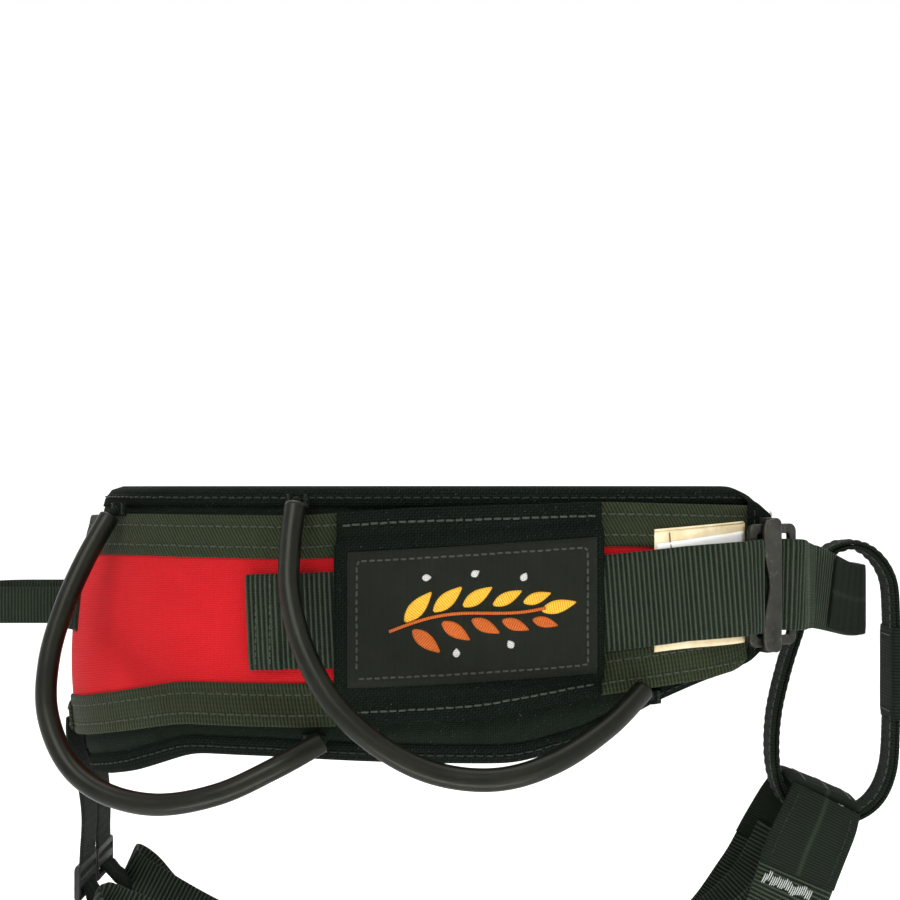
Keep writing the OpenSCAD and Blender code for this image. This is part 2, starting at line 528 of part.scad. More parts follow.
// the risers' upper ends, sewn under one patch on the lower tape
module riser_tab() {
    color(BLACK) skin([for (s = steps(-26, 26, 7))
        [for (q = slab(TAPE_R + 1 + GAP, TAPE_R + 2.6, -110, -99, 1)) on_belt(s, q[0], q[1])]]);
}

waist_pad();
waist_core();
face_panel();
tape(true);  // upper_tape
tape(false);  // lower_tape
side(true) pad_end();  // right_pad_end
side(false) pad_end();  // left_pad_end
side(true) sleeve();  // right_sleeve
side(false) sleeve();  // left_sleeve
side(true) patch();  // right_patch
side(false) patch();  // left_patch
instruction_tag();
waist_strap();
side(true) strap_tail();  // right_strap_tail
side(false) strap_tail();  // left_strap_tail
tie_in_sleeve();
side(true) waist_buckle_frame();  // right_buckle_frame
side(false) waist_buckle_frame();  // left_buckle_frame
side(true) waist_buckle_slider();  // right_buckle_slider
side(false) waist_buckle_slider();  // left_buckle_slider
side(true) waist_buckle_anchor();  // right_buckle_anchor
side(false) waist_buckle_anchor();  // left_buckle_anchor
haul_loop();
haul_loop_tab();
side(true) gear_loop(FRONT_GEAR);  // right_front_gear_loop
side(false) gear_loop(FRONT_GEAR);  // left_front_gear_loop
side(true) gear_loop(REAR_GEAR);  // right_rear_gear_loop
side(false) gear_loop(REAR_GEAR);  // left_rear_gear_loop
side(true) gear_loop_ends();  // right_gear_loop_ends
side(false) gear_loop_ends();  // left_gear_loop_ends
belay_loop();
belay_loop_cover();
leg_bridge();
side(true) leg_strap();  // right_leg_strap
side(false) leg_strap();  // left_leg_strap
side(true) leg_pad();  // right_leg_pad
side(false) leg_pad();  // left_leg_pad
side(true) leg_face();  // right_leg_face
side(false) leg_face();  // left_leg_face
side(true) leg_tail();  // right_leg_tail
side(false) leg_tail();  // left_leg_tail
side(true) leg_buckle_frame();  // right_leg_buckle_frame
side(false) leg_buckle_frame();  // left_leg_buckle_frame
side(true) leg_buckle_slider();  // right_leg_buckle_slider
side(false) leg_buckle_slider();  // left_leg_buckle_slider
side(true) leg_keeper();  // right_leg_keeper
side(false) leg_keeper();  // left_leg_keeper
side(true) riser();  // right_riser
side(false) riser();  // left_riser
side(true) riser_slide();  // right_riser_slide
side(false) riser_slide();  // left_riser_slide
riser_tab();
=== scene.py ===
"""A climbing saddle's looks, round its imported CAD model. Metres; +X front, -Y the wearer's right, +Z up."""

import math
import random

import bpy
import numpy as np
from mathutils import Matrix, Vector


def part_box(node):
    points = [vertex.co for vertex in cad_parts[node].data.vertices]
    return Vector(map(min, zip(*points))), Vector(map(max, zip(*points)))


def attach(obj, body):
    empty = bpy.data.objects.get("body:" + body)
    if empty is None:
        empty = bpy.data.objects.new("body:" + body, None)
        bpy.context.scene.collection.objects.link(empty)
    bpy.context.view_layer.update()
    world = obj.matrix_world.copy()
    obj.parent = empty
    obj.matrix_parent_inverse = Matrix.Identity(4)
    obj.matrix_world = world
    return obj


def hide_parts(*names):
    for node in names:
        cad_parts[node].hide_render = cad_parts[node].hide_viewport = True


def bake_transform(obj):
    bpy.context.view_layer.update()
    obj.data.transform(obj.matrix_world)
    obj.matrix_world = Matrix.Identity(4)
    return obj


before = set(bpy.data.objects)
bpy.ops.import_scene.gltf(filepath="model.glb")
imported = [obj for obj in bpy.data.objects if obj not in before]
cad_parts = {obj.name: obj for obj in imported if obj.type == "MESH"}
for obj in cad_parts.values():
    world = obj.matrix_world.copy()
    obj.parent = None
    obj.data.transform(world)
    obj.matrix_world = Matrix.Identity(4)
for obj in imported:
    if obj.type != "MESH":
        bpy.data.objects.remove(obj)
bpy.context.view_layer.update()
MM = 0.001
SIDES = {"right": 1.0, "left": -1.0}      # what a right-hand y is multiplied by
BELT_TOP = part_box("waist_pad")[1].z

# ---- shape of the belt, as in the CAD model -------------------------------------------------

ARCS = [(80 * MM, 65), (300 * MM, 25), (260 * MM, 20), (110 * MM, 25)]
NOSE_R = 14 * MM
BACK_X = -160 * MM
BULGE = 13 * MM
WEB = 38 * MM
WEB_T = 2.2 * MM


def arc_step(x, y, heading, radius, turn):
    """Where an arc of that radius and turn (radians) ends."""
    x += radius * (math.cos(heading) - math.cos(heading + turn))
    y -= radius * (math.sin(heading + turn) - math.sin(heading))
    return x, y, heading + turn


STARTS = [(BACK_X, 0.0, 0.0, 0.0)]         # x, y, heading and length where each arc starts, and the last ends
for arc_radius, arc_turn in ARCS:
    x, y, h, s = STARTS[-1]
    arc_turn = math.radians(arc_turn)
    STARTS.append((*arc_step(x, y, h, arc_radius, arc_turn), s + arc_radius * arc_turn))

END_X, END_Y, END_H, S_ARCS = STARTS[-1]
RUN = (-END_Y - NOSE_R * math.sin(END_H)) / -math.cos(END_H)
S_NOSE = S_ARCS + RUN
S_FRONT = S_NOSE + NOSE_R * (math.pi - END_H)


def plan(s):
    """x, y and heading of the belt's line, s along it from the middle of the back."""
    if s < 0:
        x, y, h = plan(-s)
        return x, -y, -h
    if s > S_FRONT:
        x, y, h = plan(2 * S_FRONT - s)
        return x, -y, 2 * math.pi - h
    for (radius, _), (x, y, h, start), (_, _, _, end) in zip(ARCS, STARTS, STARTS[1:]):
        if s <= end:
            return arc_step(x, y, h, radius, (s - start) / radius)
    along = min(s - S_ARCS, RUN)
    x, y = END_X + along * math.sin(END_H), END_Y - along * math.cos(END_H)
    return arc_step(x, y, END_H, NOSE_R, (s - S_ARCS - along) / NOSE_R)


def ease(t):
    t = np.clip(t, 0.0, 1.0)
    return t * t * (3 - 2 * t)


def bulge(s, z):
    return BULGE * (1 - ease((abs(s) - 0.015) / 0.07)) * math.sin(max(0.0, -z) / 0.16 * math.pi)


def on_belt(s, r, z):
    """A point r outside the belt's line at s, and z above (below, if negative) its top edge."""
    x, y, h = plan(s)
    out = r + bulge(s, z)
    return np.array([x - out * math.cos(h), y - out * math.sin(h), BELT_TOP + z])


def outward(s):
    """Unit direction straight out of the belt at s."""
    _, _, h = plan(s)
    return np.array([-math.cos(h), -math.sin(h), 0.0])


def rounded_off(at, stops, reach):
    """Evenly spaced values at, from listed (place, value) stops, with corners rounded over reach steps."""
    rough = np.interp(at, [place for place, _ in stops], [value for _, value in stops])
    kernel = np.exp(-np.linspace(-2, 2, 2 * reach + 1) ** 2)
    return np.convolve(np.pad(rough, reach, mode="edge"), kernel / kernel.sum(), mode="valid")


def profile(pairs):
    """A smooth height along the belt, from given (s, height) pairs in millimetres."""
    at = np.arange(-40, 480, 2.0)
    smooth = rounded_off(np.abs(at), pairs, 7)

    def height(s):
        s = abs(s) if s <= S_FRONT else 2 * S_FRONT - s
        return float(np.interp(s / MM, at, smooth)) * MM
    return height


pad_low = profile([(0, -131), (25, -130), (60, -122), (95, -110.5), (135, -109), (235, -109), (262, -102),
                   (292, -87), (316, -79), (340, -75), (352, -70)])
core_top = profile([(0, -13), (70, -11), (150, -11), (190, -8), (270, -5.5), (345, -7.5)])
core_low = profile([(0, -115), (40, -109), (95, -97), (150, -95), (220, -90), (270, -81), (312, -77),
                    (345, -74)])
strap_mid = profile([(115, -54.4), (170, -51.5), (270, -45), (330, -39.5), (352, -40),
                     (S_NOSE / MM - 40, -44), (S_NOSE / MM - 6, -52.5), (S_FRONT / MM, -53)])
strap_half = profile([(0, 19), (S_NOSE / MM - 50, 19), (S_NOSE / MM - 8, 17), (S_FRONT / MM, 17)])

PAD_T = 12 * MM
PAD_END = 0.352
CORE_END = 0.345
BUCKLE_S = 0.340
SLEEVE = (0.165, 0.267)
TAIL = (0.129, 0.214)
STRAP_END = 0.234
TAG = (0.289, 0.330)
TAPE_W = 17.4 * MM
CORE_R = 2.8 * MM
FACE_R = 3.0 * MM
TAPE_R = 3.8 * MM
STRAP_R = 6.0 * MM
SLEEVE_R = STRAP_R + WEB_T + 0.5 * MM

# ---- meshes ---------------------------------------------------------------------------------

CLOTH_UV = "cloth"
UP = np.array([0.0, 0.0, 1.0])
SIDEWAYS = np.array([0.0, 1.0, 0.0])


def add_object(name, data):
    obj = bpy.data.objects.new(name, data)
    bpy.context.scene.collection.objects.link(obj)
    return obj


def make_object(name, verts, faces, uvs=None):
    """A smooth mesh object; uvs holds one (u, v) in metres per face corner."""
    mesh = bpy.data.meshes.new(name)
    mesh.from_pydata([tuple(v) for v in verts], [], faces)
    layer = mesh.uv_layers.new(name=CLOTH_UV)
    if uvs is not None:
        layer.data.foreach_set("uv", np.asarray(uvs, float).ravel())
    mesh.polygons.foreach_set("use_smooth", [True] * len(mesh.polygons))
    mesh.update()
    return add_object(name, mesh)


def loft(name, rings, us, vs, closed=False):
    """A tube of rings whose second half runs back along its first, with a zipped strip over each open end.
    us holds a length per ring and vs one per point, each with one more at the end where it closes."""
    n, m = len(rings), len(rings[0])
    verts = [p for ring in rings for p in ring]
    faces, uvs = [], []
    for i in range(n if closed else n - 1):
        k = (i + 1) % n
        for j in range(m):
            l = (j + 1) % m
            faces.append((i * m + j, k * m + j, k * m + l, i * m + l))
            uvs += [(us[i], vs[j]), (us[i + 1], vs[j]), (us[i + 1], vs[j + 1]), (us[i], vs[j + 1])]
    if not closed:
        for j in range(m // 2 - 1):
            strip = [j, j + 1, m - 2 - j, m - 1 - j]
            faces.append(tuple(strip))
            faces.append(tuple((n - 1) * m + k for k in strip[::-1]))
            uvs += [(us[0], vs[k]) for k in strip] + [(us[-1], vs[k]) for k in strip[::-1]]
    return make_object(name, verts, faces, uvs)


def unit(v):
    return v / np.linalg.norm(v)


def unit_rows(a):
    return a / np.linalg.norm(a, axis=1, keepdims=True)


def lengths(points):
    steps = np.linalg.norm(np.diff(points, axis=0), axis=1)
    return np.concatenate([[0], np.cumsum(steps)])


def at_length(s, at, rows):
    """What rows, one for each of the lengths at, come to at length s, or at each of many."""
    return np.stack([np.interp(s, at, column) for column in rows.T], axis=-1)


def in_frame(points):
    """Points from millimetres, with z from the belt's top edge, in the shared frame."""
    return np.array([(x * MM, y * MM, BELT_TOP + z * MM) for x, y, z in points])


def spans(a, b, step):
    return np.linspace(a, b, max(2, int(math.ceil(abs(b - a) / step)) + 1))


def spline(points, sub, closed=False):
    """Catmull-Rom rows through given points, sub of them to each step."""
    p = np.asarray(points, float)
    n = len(p)
    rows = []
    for i in range(n if closed else n - 1):
        if closed:
            a, b, c, d = p[i - 1], p[i], p[(i + 1) % n], p[(i + 2) % n]
        else:
            a, b, c, d = p[max(i - 1, 0)], p[i], p[i + 1], p[min(i + 2, n - 1)]
        for k in range(sub):
            t = k / sub
            rows.append(0.5 * (2 * b + (c - a) * t + (2 * a - 5 * b + 4 * c - d) * t * t
                               + (3 * b - a - 3 * c + d) * t ** 3))
    if not closed:
        rows.append(p[-1])
    return np.array(rows)


def band_frame(points, across, closed=False):
    """Unit directions along, across and out of the face of a band through points."""
    if closed:
        along = unit_rows(np.roll(points, -1, axis=0) - np.roll(points, 1, axis=0))
    else:
        along = unit_rows(np.gradient(points, axis=0))
    across = unit_rows(across - along * np.sum(across * along, axis=1, keepdims=True))
    return along, across, np.cross(along, across)


def band(name, points, across, half, thick=WEB_T, cells=8, rib=0.0, pitch=2.5 * MM, closed=False, off=0.0,
         sag=0.0):
    """Webbing or tape along points, as a closed mesh with rounded edges and ribs across it. half, thick, rib
    and off (how far it lies off the line) are numbers, or one per point; sag hollows its face."""
    points = np.asarray(points, float)
    n = len(points)
    across = np.broadcast_to(np.asarray(across, float), (n, 3))
    ribbed = np.max(rib) > 0
    half, thick, off, rib = (np.broadcast_to(x, n) for x in (half, thick, off, rib))
    _, across, face = band_frame(points, across, closed)
    us = lengths(np.vstack([points, points[:1]]) if closed else points)
    if closed and ribbed:
        pitch = us[-1] / round(us[-1] / pitch)
    ts = np.linspace(-1, 1, cells + 1)
    rings = []
    for i in range(n):
        wave = rib[i] * math.sin(2 * math.pi * us[i] / pitch)
        ring = []
        for sign in (1, -1):
            for t in ts * sign:
                full = 1.0 if abs(t) < 0.999 else 0.7
                lift = off[i] + sign * (thick[i] / 2 + wave) * full - sag * (1 - t * t)
                ring.append(points[i] + across[i] * half[i] * t + face[i] * lift)
            ring.append(points[i] + across[i] * (half[i] + 0.25 * thick[i]) * sign + face[i] * off[i])
        rings.append(ring)
    wide = float(np.max(half))
    vs = list(ts * wide) + [wide * 1.03] + list(-ts * wide) + [-wide * 1.03, -wide]
    return loft(name, rings, list(us), vs, closed)


def round_rings(points, u, v, radius, angles):
    return [[p + r * (a * math.cos(angle) + b * math.sin(angle)) for angle in angles]
            for p, a, b, r in zip(points, u, v, radius)]


def round_bar(name, points, radius, sides=14, closed=False):
    """A round bar through points; radius is a number, or one per point."""
    points = np.asarray(points, float)
    radius = np.broadcast_to(radius, len(points))
    _, u, v = band_frame(points, np.broadcast_to([0.35, 1, 0.1], points.shape), closed)
    rings = round_rings(points, u, v, radius, [2 * math.pi * k / sides for k in range(sides)][::-1])
    us = lengths(np.vstack([points, points[:1]]) if closed else points)
    vs = [float(np.max(radius)) * 2 * math.pi * k / sides for k in range(sides + 1)]
    return loft(name, rings, list(us), vs, closed)


def flip_side(obj, name):
    """The left-hand twin of a right-hand mesh."""
    twin = add_object(name, obj.data.copy())
    twin.data.transform(Matrix.Diagonal((1, -1, 1, 1)))
    twin.data.flip_normals()
    return twin


def belt_sheet(name, s0, s1, step, low, high, r, thick, rows):
    """A layer on the belt from low(s) up to high(s). Its inner face is r(s, z) out."""
    ss = spans(s0, s1, step)
    ts = np.linspace(0, 1, rows + 1)
    rings = []
    for s in ss:
        z0, z1 = low(s), high(s)
        ring = []
        for outer, row in ((True, ts), (False, ts[::-1])):
            for t in row:
                z = z0 + (z1 - z0) * t
                edge = t in (0.0, 1.0)
                lift = thick * (0.65 if edge else 1.0) if outer else thick * (0.3 if edge else 0.0)
                ring.append(on_belt(s, r(s, z) + lift, z))
        rings.append(ring)
    tall = high(ss[0]) - low(ss[0])
    vs = list(ts * tall) + list(ts[::-1] * tall) + [0.0]
    return loft(name, rings, list(ss), vs)


def plate(name, outlines, thick, soft, place):
    """A flat plate with rounded edges: the first outline, less the others, in local XZ from y = 0 to -thick."""
    curve = bpy.data.curves.new(name, "CURVE")
    curve.dimensions = "2D"
    curve.fill_mode = "BOTH"
    curve.extrude = thick / 2 - soft
    curve.bevel_depth = soft
    curve.bevel_resolution = 3
    curve.offset = -soft
    for outline in outlines:
        line = curve.splines.new("POLY")
        line.points.add(len(outline) - 1)
        line.points.foreach_set("co", [c for x, y in outline for c in (x, y, 0, 1)])
        line.use_cyclic_u = True
    holder = add_object(name + "_outline", curve)
    mesh = bpy.data.meshes.new_from_object(holder.evaluated_get(bpy.context.evaluated_depsgraph_get()))
    bpy.data.objects.remove(holder)
    mesh.name = name
    mesh.uv_layers.new(name=CLOTH_UV)
    mesh.transform(place @ Matrix.Translation((0, -thick / 2, 0)) @ Matrix.Rotation(math.pi / 2, 4, "X"))
    return add_object(name, mesh)


def rounded(x, y, r, at=(0.0, 0.0), steps=8):
    """Outline of a rounded rectangle."""
    points = []
    for k, (i, j) in enumerate(((1, 1), (-1, 1), (-1, -1), (1, -1))):
        for n in range(steps + 1):
            a = math.pi / 2 * (k + n / steps)
            points.append((at[0] + i * (x / 2 - r) + r * math.cos(a),
                           at[1] + j * (y / 2 - r) + r * math.sin(a)))
    return points


def join(name, parts):
    """One object from several."""
    bpy.ops.object.select_all(action="DESELECT")
    for part in parts:
        part.select_set(True)
    bpy.context.view_layer.objects.active = parts[0]
    bpy.ops.object.join()
    parts[0].name = name
    return parts[0]


def at_belt(s, r, z):
    """Matrix of a place on the belt: local +X along it, -Y out of it, +Z up."""
    x, y, h = plan(s)
    spot = (x - r * math.cos(h), y - r * math.sin(h), BELT_TOP + z)
    return Matrix.Translation(spot) @ Matrix.Rotation(h - math.pi / 2, 4, "Z")

# ---- materials ------------------------------------------------------------------------------


class Shade:
    """A material under construction: a Principled shader and small helpers that chain maths nodes."""

    def __init__(self, name, **inputs):
        self.material = bpy.data.materials.new(name)
        self.material.use_nodes = True
        self.tree = self.material.node_tree
        self.shader = self.tree.nodes["Principled BSDF"]
        for key, value in inputs.items():
            self.shader.inputs[key.replace("_", " ")].default_value = value

    def node(self, kind, **settings):
        made = self.tree.nodes.new(kind)
        for key, value in settings.items():
            setattr(made, key, value)
        return made

    def put(self, socket, value):
        if isinstance(value, bpy.types.NodeSocket):
            self.tree.links.new(value, socket)
        else:
            socket.default_value = value

    def math(self, how, a, b=0.0, c=0.0, clamp=False):
        made = self.node("ShaderNodeMath", operation=how, use_clamp=clamp)
        for socket, value in zip(made.inputs, (a, b, c)):
            self.put(socket, value)
        return made.outputs[0]

    def total(self, *terms, less=0.0, clamp=False):
        """Sum of (socket, weight) pairs, less a constant."""
        value = -less
        for number, (socket, weight) in enumerate(terms, 1):
            value = self.math("MULTIPLY_ADD", socket, weight, value, clamp and number == len(terms))
        return value

    def uv(self):
        split = self.node("ShaderNodeSeparateXYZ")
        self.put(split.inputs[0], self.node("ShaderNodeUVMap", uv_map=CLOTH_UV).outputs[0])
        return split.outputs[0], split.outputs[1]

    def noise(self, scale, detail=3.0, rough=0.55):
        made = self.node("ShaderNodeTexNoise")
        self.put(made.inputs["Vector"], self.node("ShaderNodeTexCoord").outputs["Object"])
        for key, value in (("Scale", scale), ("Detail", detail), ("Roughness", rough)):
            made.inputs[key].default_value = value
        return made.outputs[0]

    def wave(self, along, pitch, phase=0.0):
        """0 to 1 wave of that pitch in metres."""
        angle = self.math("MULTIPLY_ADD", along, 2 * math.pi / pitch, phase)
        return self.math("MULTIPLY_ADD", self.math("SINE", angle), 0.5, 0.5)

    def mix(self, factor, a, b):
        made = self.node("ShaderNodeMix", data_type="RGBA")
        self.put(made.inputs[0], factor)
        for socket, color in ((made.inputs[6], a), (made.inputs[7], b)):
            self.put(socket, color if isinstance(color, bpy.types.NodeSocket) else (*color, 1))
        return made.outputs[2]

    def ramp(self, value, low, high):
        made = self.node("ShaderNodeMapRange")
        self.put(made.inputs[0], value)
        made.inputs[1].default_value, made.inputs[2].default_value = low, high
        return made.outputs[0]

    def between(self, value, low, high):
        """Maps 0..1 to low..high."""
        return self.math("MULTIPLY_ADD", value, high - low, low)

    def bump(self, height, distance):
        made = self.node("ShaderNodeBump")
        made.inputs["Strength"].default_value = 1.0
        made.inputs["Distance"].default_value = distance
        self.put(made.inputs["Height"], height)
        return made.outputs[0]

    def finish(self, color, rough, normal=None):
        if not isinstance(color, bpy.types.NodeSocket):
            color = (*color, 1)
        self.put(self.shader.inputs["Base Color"], color)
        self.put(self.shader.inputs["Roughness"], rough)
        if normal is not None:
            self.put(self.shader.inputs["Normal"], normal)
        return self.material


def tint(color, k):
    return tuple(c * k for c in color)


def plain_weave(name, color, pitch, depth, sheen=0.04, rough=0.88, lint=0.0, contrast=0.5, glint=0.04):
    """Square-woven cloth: warp over weft, with soft patches of wear and a little lint."""
    s = Shade(name, Sheen_Weight=sheen, Sheen_Roughness=0.5, Specular_IOR_Level=glint)
    u, v = s.uv()
    drift = s.noise(900, 2)
    warp = s.wave(u, pitch)
    weft = s.wave(v, pitch, math.pi / 2)
    over = s.wave(s.math("ADD", u, v), pitch * 2)
    weave = s.math("MULTIPLY_ADD", s.math("SUBTRACT", warp, weft), over, weft)
    patches = s.noise(28, 4, 0.6)
    shade = s.total((weave, 0.55), (patches, 0.35), (drift, 0.25), clamp=True)
    # the light end of the tone is the lighter thread of the weave; at a high contrast, as on the black cloth,
    # the light threads are painted glints
    tone = s.mix(shade, tint(color, max(0.08, 1 - contrast)), tint(color, 1 + 1.3 * contrast))
    if lint:
        flecks = s.ramp(s.noise(1500, 1), 0.74, 0.8)
        tone = s.mix(s.math("MULTIPLY", flecks, lint), tone, (0.5, 0.5, 0.48))
    height = s.total((weave, 1.0), (drift, 0.3))
    return s.finish(tone, s.between(patches, rough - 0.08, rough + 0.08), s.bump(height, depth))


def twill(name, color, light, pitch=1.5 * MM, depth=0.3 * MM, sheen=0.04):
    """Twill tape: slanting ridges, finer threads along them, and a soft bloom of lighter thread."""
    s = Shade(name, Sheen_Weight=sheen, Sheen_Roughness=0.45, Specular_IOR_Level=0.05)
    u, v = s.uv()
    ridge = s.wave(s.total((u, 1.0), (v, 0.8)), pitch)
    thread = s.wave(v, 0.42 * MM)
    patches = s.noise(40, 4, 0.65)
    fuzz = s.noise(1400, 2)
    shade = s.total((ridge, 0.7), (thread, 0.15), (patches, 0.35), (fuzz, 0.3), less=0.15, clamp=True)
    height = s.total((ridge, 1.0), (thread, 0.3), (fuzz, 0.25))
    return s.finish(s.mix(shade, color, light), s.between(patches, 0.72, 0.9), s.bump(height, depth))


CHEVRON = 6.3 * MM


def webbing(name, color, light, rib=2.05 * MM, depth=0.35 * MM, thread=0.62 * MM, gloss=0.5, stripe=0.0,
            rib_highlight_sharpness=1.1, glint=0.06):
    """Flat webbing: ribs across it, a chevron of threads along it, and painted shade in the hollows between
    ribs, with painted highlights along the rib crests.
    """
    s = Shade(name, Sheen_Weight=0.02, Sheen_Roughness=0.35, Specular_IOR_Level=glint)
    u, v = s.uv()
    cross = s.wave(u, rib)
    lean = s.math("ABSOLUTE", s.math("SUBTRACT", s.math("FRACT", s.math("DIVIDE", v, CHEVRON)), 0.5))
    chevron = s.wave(s.total((u, 1.0), (lean, 0.9 * CHEVRON)), rib / 2)
    warp = s.wave(v, thread)
    patches = s.noise(35, 4, 0.6)
    fuzz = s.noise(1600, 2)
    # painted shade and highlight: the rib wave, raised to a power, darkens the hollows between ribs and leaves
    # narrow painted highlights along the crests
    shade = s.total((s.math("POWER", cross, rib_highlight_sharpness), 0.58 + 0.1 * rib_highlight_sharpness), (chevron, 0.1), (warp, 0.16),
                    (patches, 0.34), (fuzz, 0.3), less=0.29, clamp=True)
    tone = s.mix(shade, color, light)
    if stripe:
        middle = s.ramp(s.math("ABSOLUTE", v), 0.0016, 0.0004)
        tone = s.mix(s.math("MULTIPLY", middle, stripe), tone, tint(light, 1.7))
    height = s.total((cross, 0.5), (chevron, 0.25), (warp, 0.3), (fuzz, 0.15))
    return s.finish(tone, s.between(patches, gloss, gloss + 0.2), s.bump(height, depth))


def thread_material(name, color, light):
    s = Shade(name, Sheen_Weight=0.05, Sheen_Roughness=0.3, Specular_IOR_Level=0.15)
    twist = s.noise(2600, 2)
    return s.finish(s.mix(s.ramp(twist, 0.3, 0.7), color, light), 0.55, s.bump(twist, 0.05 * MM))


def tube_material(name):
    """Extruded plastic with a soft shine, faint draw lines, dust in patches and rubbed spots."""
    s = Shade(name, Specular_IOR_Level=0.19, Specular_Tint=(0.97, 1.0, 0.84, 1))
    patches = s.noise(60, 5, 0.65)
    fine = s.noise(700, 3)
    lines = s.wave(s.uv()[1], 0.9 * MM)
    tone = s.mix(s.ramp(patches, 0.35, 0.75), (0.0016, 0.0019, 0.0011), (0.0058, 0.0064, 0.0040))
    rough = s.total((patches, 0.09), (fine, 0.08), less=-0.27)
    return s.finish(tone, rough, s.bump(s.total((fine, 0.6), (lines, 0.12)), 0.03 * MM))


def metal_material(name):
    """Dark plated steel: fine tumbled grain, and paler rubbed spots."""
    s = Shade(name, Metallic=1.0, Specular_IOR_Level=0.5)
    grain = s.noise(1800, 2)
    patches = s.noise(90, 4, 0.7)
    wear = s.ramp(s.noise(300, 5, 0.7), 0.56, 0.66)
    tone = s.mix(s.ramp(patches, 0.3, 0.7), (0.024, 0.0240, 0.0205), (0.058, 0.0575, 0.048))
    tone = s.mix(s.math("MULTIPLY", wear, 0.4), tone, (0.12, 0.115, 0.10))
    return s.finish(tone, s.total((patches, 0.16), (grain, 0.1), less=-0.34), s.bump(grain, 0.03 * MM))


def moulded_material(name, color):
    s = Shade(name, Specular_IOR_Level=0.2)
    grain = s.noise(1500, 3)
    patches = s.noise(80, 3)
    tone = s.mix(patches, tint(color, 0.7), tint(color, 1.5))
    return s.finish(tone, s.between(grain, 0.42, 0.62), s.bump(grain, 0.06 * MM))


def satin(name, color, light, pitch=0.45 * MM, shine=0.3, depth=0.12 * MM):
    """Embroidery: close parallel threads with a silky shine."""
    s = Shade(name, Sheen_Weight=0.3 * shine, Sheen_Roughness=0.3, Specular_IOR_Level=shine)
    line = s.wave(s.uv()[0], pitch)
    fuzz = s.noise(1500, 2)
    patches = s.noise(120, 3)
    shade = s.total((line, 0.6), (patches, 0.35), (fuzz, 0.3), less=0.12, clamp=True)
    height = s.total((line, 1.0), (fuzz, 0.3))
    return s.finish(s.mix(shade, color, light), s.between(line, 0.62, 0.42), s.bump(height, depth))


def label_material(name, clean, stained):
    """Coated label cloth: faintly woven, yellowed and smudged in patches."""
    s = Shade(name, Specular_IOR_Level=0.35, Subsurface_Weight=0.05)
    u, v = s.uv()
    weave = s.math("MULTIPLY", s.wave(u, 0.5 * MM), s.wave(v, 0.5 * MM))
    stain = s.ramp(s.noise(70, 5, 0.7), 0.4, 0.7)
    tone = s.mix(stain, clean, stained)
    return s.finish(tone, s.between(stain, 0.5, 0.68), s.bump(weave, 0.05 * MM))


GREEN_BLACK = (0.0008, 0.0014, 0.0010)
GREEN_BLACK_LIGHT = (0.036, 0.050, 0.032)


def dark_webbing(name, dark, light, rib, depth, stripe=0.0):
    """The saddle's dark green webbing in a duller, closer weave; dark and light scale its two colours."""
    return webbing(name, tint(GREEN_BLACK, dark), tint(GREEN_BLACK_LIGHT, light), rib, depth,
                   gloss=0.75 if stripe else 0.7, stripe=stripe, glint=0.04)


